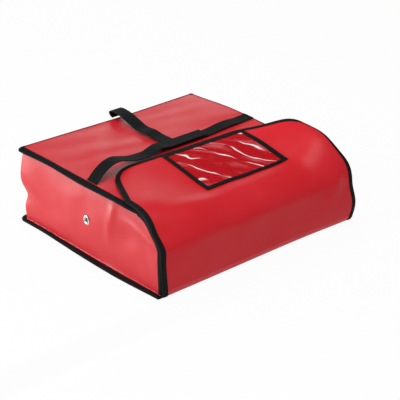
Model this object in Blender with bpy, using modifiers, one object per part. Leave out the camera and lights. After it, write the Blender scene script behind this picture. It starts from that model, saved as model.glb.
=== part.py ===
"""An insulated vinyl bag for pizza boxes, with a roll-over front flap and a three-strap handle.

Metres, +Z up. X runs from left to right, the flap faces -Y, and the bag stands on z = 0 with its
origin under the middle of its outline. Every piece is a sheet of cloth, tape or film that is bent
to its place and then given its thickness, except the two metal eyelets, which are turned.
"""

import math

import bmesh
import bpy
from mathutils import Matrix, Vector

# Outline of the bag
overall_depth = 0.484
body_height = 0.150
base_half_width = 0.248
side_wall_lean = 0.016
back_wall_lean = 0.020
back_corner_radius = 0.010
fin_width = 0.010
flap_roll_radius = 0.065
fold_radius = 0.010

# Layers of cloth
skin_thickness = 0.0008
wall_padding_thickness = 0.0040
flap_padding_thickness = 0.0030
liner_thickness = 0.0006
tape_thickness = 0.0008
layer_gap = 0.0003
split_gap = 0.0006

# Bound edges
edge_tape_leg = 0.012
fin_tape_overlap = 0.003
top_seam_setback = 0.004
base_seam_setback = 0.002
joggle_start = 0.0036
joggle_end = 0.0060

# Front flap
flap_base_overhang = 0.001
flap_top_overhang = 0.006
lip_free_y = 0.002
lip_taper_length = 0.120
lip_corner_inset = 0.060
lip_corner_radius = 0.078

# How the empty bag settles: its mouth sags, and the lip's right shoulder stands up in a crown
mouth_sag = 0.020
shoulder_crown = 0.022
crown_setback = 0.082
crown_reach = 0.115
flap_tape_gap = 0.0007

# Hook and loop closure under the lip
closure_end_inset = 0.028
closure_depth = 0.025
closure_strip_thickness = 0.0011
closure_setback = 0.020

# Ticket window on the lip
window_left_inset = 0.120
window_right_inset = 0.022
window_front_inset = 0.0204
window_mouth_inset = 0.0055
window_tape_width = 0.010
window_hem_width = 0.007
film_thickness = 0.0005

# Handle
webbing_width = 0.030
webbing_thickness = 0.0016
grip_x = 0.015
grip_setback = 0.040
grip_left_reach = 0.040
grip_right_reach = 0.085
grip_back_reach = 0.075
left_anchor_setback = 0.008
right_anchor_setback = 0.038
left_hump_height = 0.024
left_flat_length = 0.044
back_hump_height = 0.018
back_flat_length = 0.006
hump_peak_share = 0.36
arm_rise_length = 0.025

# Eyelets in the side walls
eyelet_y = 0.001
eyelet_height = 0.076
eyelet_flange_radius = 0.0102
eyelet_barrel_radius = 0.0056
eyelet_bore_radius = 0.0048
eyelet_rolled_radius = 0.0074
eyelet_metal = 0.0006

# Facets
roll_steps = 8
fold_steps = 3
edge_steps = 8
corner_steps = 4
lip_corner_steps = 6
hump_steps = 12
eyelet_facets = 16
sag_steps = 5
slope_steps = 3

# Sizes that follow from the ones above
top_half_width = base_half_width - side_wall_lean
flap_base_half_width = base_half_width + flap_base_overhang
flap_top_half_width = top_half_width + flap_top_overhang
lip_corner_half_width = flap_top_half_width - lip_corner_inset
grip_y = lip_free_y + grip_setback
tape_stand = layer_gap + tape_thickness
tape_middle = layer_gap + tape_thickness / 2
wall_thickness = skin_thickness + wall_padding_thickness + liner_thickness + 2 * layer_gap
flap_thickness = skin_thickness + flap_padding_thickness + liner_thickness + 2 * layer_gap
flap_seat_gap = 2 * closure_strip_thickness + 3 * layer_gap
front_y = -overall_depth / 2 + tape_stand
top_back_y = overall_depth / 2 - fin_width - tape_stand
roll_centre_y = front_y + flap_roll_radius
roll_centre_z = body_height + flap_seat_gap + flap_thickness - flap_roll_radius
wall_edge_radius = flap_roll_radius - flap_thickness - flap_seat_gap
fold_centre_y = front_y + fold_radius
top_seam_start_y = roll_centre_y + top_seam_setback
base_seam_start_y = fold_centre_y + base_seam_setback
panel_allowance = fin_width - 2 * layer_gap

# Heights of the stacked seam allowances, each at the middle of its cloth
base_skin_z = skin_thickness / 2
base_tape_low_z = tape_middle
base_flange_z = tape_stand + layer_gap + skin_thickness / 2
foot_flange_z = base_flange_z + skin_thickness + layer_gap
base_tape_high_z = foot_flange_z + skin_thickness / 2 + tape_middle
top_skin_z = body_height - skin_thickness / 2
head_flange_z = top_skin_z - skin_thickness - layer_gap
top_tape_high_z = body_height + tape_middle
top_tape_low_z = head_flange_z - skin_thickness / 2 - tape_middle
inner_low_z = foot_flange_z - skin_thickness / 2
inner_high_z = body_height - skin_thickness - layer_gap

# Depths of the wall layers behind the outer face, each at the middle of its cloth
skin_depth = skin_thickness / 2
wall_padding_depth = skin_thickness + layer_gap + wall_padding_thickness / 2
wall_liner_depth = wall_thickness - liner_thickness / 2
flap_padding_depth = skin_thickness + layer_gap + flap_padding_thickness / 2
flap_liner_depth = flap_thickness - liner_thickness / 2

# Ways up the flap's outer face, from the middle of the bottom fold
fold_run = fold_radius * math.pi / 4
upright_run = roll_centre_z - fold_radius
roll_run = flap_roll_radius * math.pi / 2
split_run = fold_run + upright_run + roll_run / 2
lip_start_run = fold_run + upright_run + roll_run
free_edge_run = lip_start_run + lip_free_y - roll_centre_y

# Where the mouth sags fully, and where the sag ends
window_left_x = window_left_inset - lip_corner_half_width
window_right_x = lip_corner_half_width - window_right_inset
sag_half_width = top_half_width - wall_thickness - tape_stand - layer_gap
sag_start_y = roll_centre_y + window_front_inset
sag_end_y = lip_free_y - closure_setback - closure_depth - layer_gap
crown_y = lip_free_y - crown_setback

LEFT = -1
RIGHT = 1
TAPE_FOLDS = [("leg", "over"), ("edge", "over"), ("edge", "under"), ("leg", "under")]

parts = bpy.data.collections.new("pizza_bag")
cutters = bpy.data.collections.new("cutters")


def clear_scene():
    """Removes what the scene holds, and links the two collections."""
    for old in list(bpy.data.objects):
        bpy.data.objects.remove(old)
    bpy.context.scene.collection.children.link(parts)
    bpy.context.scene.collection.children.link(cutters)
    cutters.hide_render = True


def finish_of(name, colour, roughness, metallic=0.0, alpha=1.0):
    """A plain material of one colour."""
    material = bpy.data.materials.new(name)
    material.use_nodes = True
    shader = material.node_tree.nodes["Principled BSDF"]
    shader.inputs["Base Color"].default_value = (*colour, 1.0)
    shader.inputs["Roughness"].default_value = roughness
    shader.inputs["Metallic"].default_value = metallic
    shader.inputs["Alpha"].default_value = alpha
    material.diffuse_color = (*colour, alpha)
    return material


def make_finishes():
    """The materials, by name."""
    return {
        "vinyl": finish_of("red_vinyl", (0.62, 0.02, 0.03), 0.4),
        "tape": finish_of("black_tape", (0.012, 0.013, 0.014), 0.7),
        "webbing": finish_of("black_webbing", (0.010, 0.012, 0.013), 0.8),
        "padding": finish_of("white_padding", (0.80, 0.80, 0.78), 0.9),
        "liner": finish_of("grey_liner", (0.45, 0.46, 0.48), 0.5),
        "film": finish_of("clear_film", (0.90, 0.90, 0.90), 0.1, alpha=0.35),
        "hook": finish_of("hook_and_loop", (0.015, 0.015, 0.016), 0.9),
        "eyelet": finish_of("plated_eyelet", (0.80, 0.80, 0.78), 0.3, metallic=1.0),
    }


def piece_of(name, bm, finish):
    """An object of the bag from a mesh in the making."""
    mesh = bpy.data.meshes.new(name)
    bm.to_mesh(mesh)
    bm.free()
    piece = bpy.data.objects.new(name, mesh)
    piece.data.materials.append(finish)
    parts.objects.link(piece)
    return piece


def shell(name, place, columns, rows, faces, finish):
    """Cloth between its two faces: place(column, row, face) is a point of one of them."""
    bm = bmesh.new()
    grids = []
    for face in faces:
        grids.append([[bm.verts.new(place(column, row, face)) for row in rows] for column in columns])
    across = len(columns) - 1
    along = len(rows) - 1
    for grid in grids:
        for i in range(across):
            for j in range(along):
                bm.faces.new((grid[i][j], grid[i + 1][j], grid[i + 1][j + 1], grid[i][j + 1]))
    rim = [(i, 0) for i in range(across)]
    rim += [(across, j) for j in range(along)]
    rim += [(i, along) for i in range(across, 0, -1)]
    rim += [(0, j) for j in range(along, 0, -1)]
    first, second = grids
    for (i, j), (m, n) in zip(rim, rim[1:] + rim[:1]):
        bm.faces.new((first[i][j], first[m][n], second[m][n], second[i][j]))
    bmesh.ops.triangulate(bm, faces=bm.faces, quad_method="FIXED")
    bmesh.ops.recalc_face_normals(bm, faces=bm.faces)
    return piece_of(name, bm, finish)


def faces_at(depth, thickness):
    """The depths of the two faces of a cloth, from the depth of its middle."""
    return depth - thickness / 2, depth + thickness / 2


def sheet(name, place, columns, rows, thickness, finish):
    """Cloth of one thickness: a flat grid, each point moved to place(column, row), then thickened."""
    bm = bmesh.new()
    across = len(columns) - 1
    along = len(rows) - 1
    bmesh.ops.create_grid(bm, x_segments=across, y_segments=along, size=1.0)
    for vert in bm.verts:
        column = columns[round((vert.co.x + 1) / 2 * across)]
        row = rows[round((vert.co.y + 1) / 2 * along)]
        vert.co = place(column, row)
    panel = piece_of(name, bm, finish)
    solidify = panel.modifiers.new("thickness", "SOLIDIFY")
    solidify.thickness = thickness
    solidify.offset = 0.0
    solidify.solidify_mode = "NON_MANIFOLD"
    solidify.nonmanifold_thickness_mode = "CONSTRAINTS"
    return panel


def spread(first, last, steps):
    """Evenly spaced values from first to last."""
    return [first + (last - first) * step / steps for step in range(steps + 1)]


def eased(share):
    """A share from 0 to 1 with a soft start and end."""
    share = min(max(share, 0.0), 1.0)
    return share * share * (3 - 2 * share)


def sag_across(x):
    """How much of the sag there is at x: all of it over the window, and none by the walls."""
    if x < window_left_x:
        return eased((x + sag_half_width) / (window_left_x + sag_half_width))
    return 1 - eased((x - window_right_x) / (sag_half_width - window_right_x))


def sag_along(y):
    """How much of the sag there is at y on the top: all of it at the mouth, then less in even steps."""
    steps = min(max((y - sag_start_y) / (sag_end_y - sag_start_y), 0.0), 1.0) * sag_steps
    step = min(int(steps), sag_steps - 1)
    before = eased(step / sag_steps)
    after = eased((step + 1) / sag_steps)
    return 1 - before - (after - before) * (steps - step)


def crown_at(x, y):
    """The height of the lip's right shoulder over its flat shape."""
    away = min(abs(y - crown_y) / crown_reach, 1.0)
    across = max(x - window_right_x, 0.0) / (flap_top_half_width - window_right_x)
    return shoulder_crown * across * (1 - away * away) ** 2


def settled_top(x, y, depth):
    """A point of the top where it has sagged, depth in from its outer face."""

    def face(at_x, at_y):
        return Vector((at_x, at_y, body_height - mouth_sag * sag_across(at_x) * sag_along(at_y)))

    return off_face(face, x, y, depth)


def off_face(face, across, along, depth):
    """A point in from a face that is given by two measures, square to the face."""
    step = layer_gap
    aside = face(across + step, along) - face(across - step, along)
    ahead = face(across, along + step) - face(across, along - step)
    return face(across, along) - aside.cross(ahead).normalized() * depth


def sag_columns(reach):
    """Places from left to right that follow the sag, from -reach to reach."""
    left = spread(-sag_half_width, window_left_x, slope_steps)
    right = spread(window_right_x, sag_half_width, slope_steps)
    outer = [reach] if reach > sag_half_width + layer_gap else []
    return [-x for x in outer] + left + right + outer


def sag_rows(first, last):
    """Places from front to back that follow the sag."""
    inside = [y for y in spread(sag_start_y, sag_end_y, sag_steps) if first < y < last]
    return [first, *inside, last]


def wall_half_width(z):
    """Half the bag's width over the outer faces of its side walls, at height z."""
    return base_half_width + (top_half_width - base_half_width) * z / body_height


def wall_back_y(z):
    """Where the back wall's outer face is, at height z."""
    return top_back_y - back_wall_lean * (1 - z / body_height)


def wall_front(station, inset):
    """(y, z) on a side wall's front edge: upright, then rounded about the flap's roll."""
    kind, value = station
    if kind == "upright":
        return roll_centre_y - wall_edge_radius + inset, value
    reach = wall_edge_radius - inset
    return roll_centre_y - reach * math.cos(value), roll_centre_z + reach * math.sin(value)


def edge_stations(low_z, high_z):
    """Places up the front edge of a side wall, from one height to another."""
    last = math.asin((high_z - roll_centre_z) / wall_edge_radius)
    step = math.pi / 2 / edge_steps
    angles = [step * index for index in range(edge_steps) if step * index < last]
    return [("upright", low_z)] + [("round", angle) for angle in [*angles, last]]


def wall_path(z, depth, start_y):
    """Plan points round the left, back and right walls at one height and depth, from front to front."""
    reach = wall_half_width(z) - depth
    back = wall_back_y(z) - depth
    radius = back_corner_radius - depth
    left_turn = []
    for angle in spread(0.0, math.pi / 2, corner_steps):
        x = -(reach - radius) - radius * math.cos(angle)
        y = back - radius + radius * math.sin(angle)
        left_turn.append((x, y))
    right_turn = [(-x, y) for x, y in reversed(left_turn)]
    return [(-reach, start_y), *left_turn, *right_turn, (reach, start_y)]


def wall_strip(name, low_z, high_z, depth, thickness, finish, flanges=False):
    """One long strip that makes the left, back and right walls, with or without seam flanges."""
    rows = []
    for station in edge_stations(low_z, high_z):
        y, z = wall_front(station, 0.0)
        rows.append([(x, py, z) for x, py in wall_path(z, depth, y)])
    if flanges:
        for at, z, start_y in ((0, low_z, base_seam_start_y), (len(rows), high_z, top_seam_start_y)):
            flange = [(x, py, z) for x, py in wall_path(z, -fin_width, start_y)]
            rows.insert(at + (1 if at else 0), flange)
    columns = list(range(len(rows[0])))
    return sheet(
        name, lambda column, row: rows[row][column], columns, list(range(len(rows))), thickness, finish
    )


def side_padding(name, side, finish):
    """The flat pad in one side wall."""

    def place(at_back, station):
        y, z = wall_front(station, 0.0)
        if at_back:
            y = wall_back_y(z) - back_corner_radius
        return side * (wall_half_width(z) - wall_padding_depth), y, z

    stations = edge_stations(inner_low_z, inner_high_z)
    return sheet(name, place, [0, 1], stations, wall_padding_thickness, finish)


def back_padding(finish):
    """The flat pad in the back wall, between the side walls' corners."""

    def place(side, z):
        return side * (wall_half_width(z) - back_corner_radius), wall_back_y(z) - wall_padding_depth, z

    heights = [inner_low_z, inner_high_z]
    return sheet("back_insulation", place, [LEFT, RIGHT], heights, wall_padding_thickness, finish)


def level_pad(name, z, thickness, start_y, finish):
    """A flat layer of the base, inside the walls."""
    low = z - thickness / 2
    clear = wall_thickness + tape_stand + layer_gap
    reach = wall_half_width(low + thickness) - clear
    end_y = wall_back_y(low) - clear
    return sheet(name, lambda x, y: (x, y, z), [-reach, reach], [start_y, end_y], thickness, finish)


def top_layer(name, depth, thickness, finish):
    """A layer under the top panel, inside the walls, that sags with it at the mouth."""
    low = body_height - depth - thickness / 2
    end_y = wall_back_y(low) - wall_thickness - tape_stand - layer_gap
    columns = sag_columns(sag_half_width)
    rows = sag_rows(top_seam_start_y, end_y)
    return shell(name, settled_top, columns, rows, faces_at(depth, thickness), finish)


def pulled_to_corner(x, y, z):
    """Keeps a point of a flat panel inside the rounded back corners of the seam fin."""
    radius = back_corner_radius + panel_allowance
    centre = Vector((wall_half_width(z) - back_corner_radius, wall_back_y(z) - back_corner_radius))
    away = Vector((abs(x), y)) - centre
    if away.x > 0 and away.y > 0 and away.length > radius:
        away *= radius / away.length
        return math.copysign(centre.x + away.x, x), centre.y + away.y
    return x, y


def base_skin(finish):
    """The red skin under the bag. Its edge steps up into the seam fin, and it ends at the front fold."""
    insets = [-panel_allowance, 0.0, joggle_start, joggle_end]
    columns = [(LEFT, inset) for inset in insets] + [(RIGHT, inset) for inset in reversed(insets)]
    half_gap = split_gap / 2 / fold_radius
    folds = [("fold", angle) for angle in spread(math.pi / 4 + half_gap, math.pi / 2, fold_steps)]
    rows = folds + [("start", 0.0)] + [("back", inset) for inset in reversed(insets)]

    def place(column, row):
        side, inset = column
        kind, value = row
        if kind == "fold":
            radius = fold_radius - skin_depth
            share = wall_half_width(0.0) - inset
            x = side * min(share, flap_base_half_width)
            return x, fold_centre_y - radius * math.cos(value), fold_radius - radius * math.sin(value)
        x = side * (wall_half_width(base_flange_z) - inset)
        y = base_seam_start_y if kind == "start" else wall_back_y(base_flange_z) - value
        raised = inset < joggle_end or (kind == "back" and value < joggle_end)
        x, y = pulled_to_corner(x, y, base_flange_z)
        return x, y, base_flange_z if raised else base_skin_z

    return sheet("bottom_panel", place, columns, rows, skin_thickness, finish)


def top_skin(finish):
    """The red skin of the top, with its edge flat in the seam fin. It sags at the mouth."""
    inner = wall_half_width(top_skin_z)
    outer = inner + panel_allowance
    columns = [-outer, *sag_columns(inner), outer]
    back = wall_back_y(top_skin_z)
    rows = [*sag_rows(top_seam_start_y, back), back + panel_allowance]

    def place(x, y, depth):
        x, y = pulled_to_corner(x, y, top_skin_z)
        return settled_top(x, y, depth)

    return shell("top_panel", place, columns, rows, (0.0, skin_thickness), finish)


def fin_tape(name, low_z, high_z, panel_at_top, start_y, finish):
    """Tape folded over the seam fin that runs round three sides of the bag."""
    fold_out = fin_width + tape_middle
    over_panel = -fin_tape_overlap
    beside_wall = tape_stand
    low_out, high_out = (beside_wall, over_panel) if panel_at_top else (0.0, beside_wall)
    rows = [(low_out, low_z), (fold_out, low_z), (fold_out, high_z), (high_out, high_z)]
    level = (low_z + high_z) / 2

    def place(column, row):
        out, z = row
        x, y = wall_path(level, -out, start_y)[column]
        return x, y, z

    columns = list(range(len(wall_path(level, 0.0, start_y))))
    return sheet(name, place, columns, rows, tape_thickness, finish)


def wall_edge_tape(name, side, finish):
    """Tape folded over the front edge of one side wall."""
    stations = edge_stations(fold_radius, top_tape_low_z)[:-1]
    folds = [
        (edge_tape_leg, tape_middle),
        (-tape_middle, tape_middle),
        (-tape_middle, -wall_thickness - tape_middle),
        (edge_tape_leg, -wall_thickness - tape_middle),
    ]

    def place(fold, station):
        inset, out = fold
        y, z = wall_front(station, inset)
        return side * (wall_half_width(z) + out), y, z

    return sheet(name, place, folds, stations, tape_thickness, finish)


def top_front_tape(finish):
    """Tape folded over the front edge of the top panel, between the side walls."""

    def place(x, fold, stand):
        inset, depth = tape_fold(fold, stand, wall_thickness)
        return settled_top(x, top_seam_start_y + inset, depth)

    columns = sag_columns(sag_half_width)
    faces = (layer_gap, tape_stand)
    return shell("top_panel_front_binding", place, columns, TAPE_FOLDS, faces, finish)


def tape_fold(fold, stand, thickness):
    """(inset, depth) of a fold of a tape that stands off an edge of a cloth."""
    along, face = fold
    inset = edge_tape_leg if along == "leg" else -stand
    depth = -stand if face == "over" else thickness + stand
    return inset, depth


def flap_face(x, run):
    """A point of the flap's outer face: run is the way up it from the middle of the bottom fold."""
    top_z = roll_centre_z + flap_roll_radius
    y = roll_centre_y + run - lip_start_run
    z = top_z
    if run < fold_run:
        angle = (fold_run - run) / fold_radius
        y = fold_centre_y - fold_radius * math.cos(angle)
        z = fold_radius - fold_radius * math.sin(angle)
    elif run < fold_run + upright_run:
        y = front_y
        z = fold_radius + run - fold_run
    elif run < lip_start_run:
        angle = (run - fold_run - upright_run) / flap_roll_radius
        y = roll_centre_y - flap_roll_radius * math.cos(angle)
        z = roll_centre_z + flap_roll_radius * math.sin(angle)
    behind = eased((run - split_run) / (lip_start_run + window_front_inset - split_run))
    sag = mouth_sag * sag_across(x) * behind * sag_along(y)
    return Vector((x, y, z - sag + crown_at(x, y)))


def flap_point(x, run, depth):
    """A point of the flap, depth in from its outer face."""
    return off_face(flap_face, x, run, depth)


def lip_corner():
    """The rounded corner of the lip as (half width, run) points, from its side to its free edge."""
    shoulder = Vector((flap_top_half_width, free_edge_run - lip_taper_length))
    corner = Vector((lip_corner_half_width, free_edge_run))
    along_side = (corner - shoulder).normalized()
    turn = along_side.angle(Vector((-1.0, 0.0)))
    tangent = lip_corner_radius * math.tan(turn / 2)
    centre = Vector((corner.x - tangent, free_edge_run - lip_corner_radius))
    arc = []
    for angle in spread(turn, 0.0, lip_corner_steps):
        arc.append(centre + lip_corner_radius * Vector((math.sin(angle), math.cos(angle))))
    taper = []
    for run in sag_runs():
        if shoulder.y < run < arc[0].y:
            taper.append(shoulder.lerp(arc[0], (run - shoulder.y) / (arc[0].y - shoulder.y)))
    return [shoulder, *taper, *arc]


def sag_runs():
    """The ways up the flap at which its sag bends."""
    return [lip_start_run + y - roll_centre_y for y in spread(sag_start_y, sag_end_y, sag_steps)]


def flap_outline(first_run, last_run):
    """One side of the flap as (half width, run) points, between two runs before its corners."""
    fold_runs = spread(first_run, fold_run, fold_steps) if first_run < fold_run else []
    roll_runs = spread(fold_run + upright_run, lip_start_run, roll_steps)
    runs = fold_runs + roll_runs + sag_runs()
    inside = sorted({run for run in runs if first_run < run < last_run})
    points = []
    for run in [first_run, *inside, last_run]:
        share = min(run / lip_start_run, 1.0)
        half_width = flap_base_half_width + (flap_top_half_width - flap_base_half_width) * share
        points.append(Vector((half_width, run)))
    return points


def flap_layer(name, outline, depth, thickness, finish):
    """One layer of the flap between the two mirrored sides of an outline."""

    def place(column, at, face):
        kind, share = column
        inner = at.x - edge_tape_leg
        left = max(window_left_x, -inner)
        right = min(window_right_x, inner)
        x = {
            "left edge": -at.x,
            "left slope": -inner + (left + inner) * share,
            "right slope": right + (inner - right) * share,
            "right edge": at.x,
        }[kind]
        return flap_point(x, at.y, face)

    shares = spread(0.0, 1.0, slope_steps)
    slopes = [(kind, share) for kind in ("left slope", "right slope") for share in shares]
    columns = [("left edge", 0.0), *slopes, ("right edge", 0.0)]
    return shell(name, place, columns, outline, faces_at(depth, thickness), finish)


def inward_normals(path):
    """At each point of a path on the flap, the direction to its right, square to the path."""
    normals = []
    for index in range(len(path)):
        before = path[max(index - 1, 0)]
        after = path[min(index + 1, len(path) - 1)]
        way = (after - before).normalized()
        normals.append(Vector((way.y, -way.x)))
    return normals


def flap_edge_tape(name, path, finish):
    """Tape folded over an edge of the flap, along a path that has the flap on its right."""
    normals = inward_normals(path)

    def place(fold, index, stand):
        inset, depth = tape_fold(fold, stand, flap_thickness)
        at = path[index] + normals[index] * inset
        return flap_point(at.x, at.y, depth)

    faces = (flap_tape_gap, flap_tape_gap + tape_thickness)
    return shell(name, place, TAPE_FOLDS, list(range(len(path))), faces, finish)


def mirrored(path):
    """The same path on the other side of the flap, run the other way."""
    return [Vector((-at.x, at.y)) for at in reversed(path)]


def make_flap(finishes):
    """The flap: its front part up to the middle of the roll, and its lip from there to the free edge."""
    front = flap_outline(split_gap / 2, split_run - split_gap / 2)
    front_inside = flap_outline(fold_run, split_run - split_gap / 2)
    corner = lip_corner()
    lip = flap_outline(split_run + split_gap / 2, corner[0].y)[:-1] + corner
    for prefix, skin_outline, inner_outline in (("flap", front, front_inside), ("lip", lip, lip)):
        flap_layer(prefix + "_panel", skin_outline, skin_depth, skin_thickness, finishes["vinyl"])
        flap_layer(
            prefix + "_insulation",
            inner_outline,
            flap_padding_depth,
            flap_padding_thickness,
            finishes["padding"],
        )
        flap_layer(prefix + "_liner", inner_outline, flap_liner_depth, liner_thickness, finishes["liner"])
    right_down = list(reversed(front))
    flap_edge_tape("flap_left_binding", mirrored(right_down), finishes["tape"])
    flap_edge_tape("flap_right_binding", right_down, finishes["tape"])
    around = mirrored(list(reversed(lip))) + list(reversed(lip))
    flap_edge_tape("lip_binding", around, finishes["tape"])


def make_closure(finishes):
    """The hook strip under the lip, and the loop strip on the top panel below it."""
    half = lip_corner_half_width - closure_end_inset
    back = lip_free_y - closure_setback
    depths = [back - closure_depth, back]
    loop_z = body_height + layer_gap + closure_strip_thickness / 2
    hook_z = loop_z + closure_strip_thickness + layer_gap
    for name, z in (("loop_strip", loop_z), ("hook_strip", hook_z)):
        sheet(
            name,
            lambda x, y, level=z: (x, y, level),
            [-half, half],
            depths,
            closure_strip_thickness,
            finishes["hook"],
        )


def lip_patch(name, left, right, front_run, back_run, lift, thickness, finish):
    """A rectangle laid on the lip, its lower face lift above the skin."""
    inside = [run for run in sag_runs() if front_run + layer_gap < run < back_run - layer_gap]
    rows = [front_run, *inside, back_run]
    return shell(name, flap_point, [left, right], rows, (-lift - thickness, -lift), finish)


def make_window(finishes):
    """The clear ticket window and the tapes that hold three of its sides, with a hem at its mouth."""
    left = window_left_x
    right = window_right_x
    back = free_edge_run - edge_tape_leg - window_mouth_inset
    front = lip_start_run + window_front_inset
    over_film = 2 * layer_gap + film_thickness
    lip_patch("window_film", left, right, front, back, layer_gap, film_thickness, finishes["film"])
    inner_left = left + window_tape_width
    inner_right = right - window_tape_width
    front_end = front + window_tape_width
    tapes = {
        "window_left_binding": (left, inner_left, front, back),
        "window_right_binding": (inner_right, right, front, back),
        "window_front_binding": (inner_left + layer_gap, inner_right - layer_gap, front, front_end),
        "window_mouth_hem": (
            inner_left + layer_gap,
            inner_right - layer_gap,
            back - window_hem_width,
            back,
        ),
    }
    for name, bounds in tapes.items():
        lip_patch(name, *bounds, over_film, tape_thickness, finishes["tape"])


def webbing(name, path, finish, runs_back=False):
    """A strap of webbing along a path of points, its ends square to X, or to Y where it runs back."""
    across = Vector((-1.0, 0.0, 0.0)) if runs_back else Vector((0.0, 1.0, 0.0))
    across *= webbing_width / 2

    def place(side, index):
        return Vector(path[index]) + across * side

    return sheet(name, place, [LEFT, RIGHT], list(range(len(path))), webbing_thickness, finish)


def arm_path(start, end, start_z, end_z, hump_height, flat_length):
    """Points of a handle arm: a hump by its seam, then flat on the top, then up to its grip layer."""
    way = Vector(end) - Vector(start)
    length = way.length
    hump_length = length - arm_rise_length - flat_length
    stations = spread(0.0, hump_length, hump_steps) + [length - arm_rise_length, length]
    peak_power = math.log(0.5) / math.log(hump_peak_share)
    points = []
    for station in stations:
        share = min(station / hump_length, 1.0) ** peak_power
        hump = hump_height * math.sin(math.pi * share) ** 2
        rise = max(station - length + arm_rise_length, 0.0) / arm_rise_length
        at = Vector(start) + way * (station / length)
        points.append((at.x, at.y, start_z + hump + (end_z - start_z) * rise))
    return points


def flat_arm_path(start, end, z):
    """Points of a handle arm that lies flat on the top."""
    return [(*start, z), (*end, z)]


def make_handle(finishes):
    """Three arms from the seams, and the grip where their ends are sewn over each other."""
    cloth = finishes["webbing"]
    under_z = body_height + layer_gap + webbing_thickness / 2
    tab_z = under_z + webbing_thickness + layer_gap
    over_z = tab_z + webbing_thickness + layer_gap
    left_end = grip_x - grip_left_reach
    right_end = grip_x + grip_right_reach
    back_end = grip_y + grip_back_reach
    webbing("grip_under_strap", [(left_end, grip_y, under_z), (right_end, grip_y, under_z)], cloth)
    webbing("grip_over_strap", [(left_end, grip_y, over_z), (right_end, grip_y, over_z)], cloth)
    tab_front = grip_y - webbing_width / 2
    tab_path = [(grip_x, tab_front, tab_z), (grip_x, back_end, tab_z)]
    webbing("grip_back_tab", tab_path, cloth, runs_back=True)

    seam_inset = fin_tape_overlap + layer_gap + webbing_thickness
    seam_x = wall_half_width(body_height) - seam_inset
    seam_y = wall_back_y(body_height) - seam_inset
    left_start = (-seam_x, lip_free_y + left_anchor_setback)
    left_stop = (left_end - layer_gap, grip_y)
    right_start = (seam_x, lip_free_y + right_anchor_setback)
    webbing(
        "left_strap",
        arm_path(left_start, left_stop, under_z, over_z, left_hump_height, left_flat_length),
        cloth,
    )
    webbing(
        "right_strap",
        flat_arm_path(right_start, (right_end + layer_gap, grip_y), under_z),
        cloth,
    )
    webbing(
        "back_strap",
        arm_path(
            (grip_x, seam_y),
            (grip_x, back_end + layer_gap),
            under_z,
            tab_z,
            back_hump_height,
            back_flat_length,
        ),
        cloth,
        runs_back=True,
    )


def turned(name, profile, place, finish):
    """A ring turned about its own axis from a closed profile of (radius, height) points."""
    bm = bmesh.new()
    ring = [bm.verts.new((radius, 0.0, height)) for radius, height in profile]
    for index, vert in enumerate(ring):
        bm.edges.new((vert, ring[(index + 1) % len(ring)]))
    mesh = bpy.data.meshes.new(name)
    bm.to_mesh(mesh)
    bm.free()
    piece = bpy.data.objects.new(name, mesh)
    piece.data.materials.append(finish)
    parts.objects.link(piece)
    piece.matrix_world = place
    screw = piece.modifiers.new("turn", "SCREW")
    screw.steps = eyelet_facets
    screw.render_steps = eyelet_facets
    screw.use_merge_vertices = True
    screw.merge_threshold = layer_gap / 10
    screw.use_smooth_shade = True
    return piece


def eyelet_place(side):
    """The frame of an eyelet: origin on the wall's outer face, local Z out of the wall."""
    slope = (top_half_width - base_half_width) / body_height
    outward = Vector((side, 0.0, -slope)).normalized()
    turn = outward.to_track_quat("Z", "Y").to_matrix().to_4x4()
    at = Vector((side * wall_half_width(eyelet_height), eyelet_y, eyelet_height))
    return Matrix.Translation(at) @ turn


def cut_hole(panel, cutter):
    """Cuts a panel with an unseen cutter."""
    hole = panel.modifiers.new("eyelet_hole", "BOOLEAN")
    hole.operation = "DIFFERENCE"
    hole.solver = "EXACT"
    hole.object = cutter


def make_eyelet(name, side, panels, finish):
    """A two-part eyelet through one side wall, and the hole for it in each layer."""
    face = layer_gap + eyelet_metal
    washer_face = -(wall_thickness + layer_gap)
    rolled_face = washer_face - eyelet_metal - layer_gap
    end = rolled_face - eyelet_metal
    barrel_profile = [
        (eyelet_flange_radius, face),
        (eyelet_flange_radius, layer_gap),
        (eyelet_barrel_radius, layer_gap),
        (eyelet_barrel_radius, rolled_face),
        (eyelet_rolled_radius, rolled_face),
        (eyelet_rolled_radius, end),
        (eyelet_bore_radius, end),
        (eyelet_bore_radius, face),
    ]
    washer_bore = eyelet_barrel_radius + layer_gap
    washer_profile = [
        (eyelet_flange_radius, washer_face),
        (eyelet_flange_radius, washer_face - eyelet_metal),
        (washer_bore, washer_face - eyelet_metal),
        (washer_bore, washer_face),
    ]
    place = eyelet_place(side)
    turned(name, barrel_profile, place, finish)
    turned(name + "_washer", washer_profile, place, finish)
    cut_length = 4 * wall_thickness
    bpy.ops.mesh.primitive_cylinder_add(
        vertices=eyelet_facets, radius=eyelet_barrel_radius + layer_gap, depth=cut_length
    )
    cutter = bpy.context.active_object
    cutter.name = name + "_cutter"
    cutter.matrix_world = place
    cutter.display_type = "WIRE"
    cutter.hide_render = True
    for holder in list(cutter.users_collection):
        holder.objects.unlink(cutter)
    cutters.objects.link(cutter)
    for panel in panels:
        cut_hole(panel, cutter)


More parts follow.
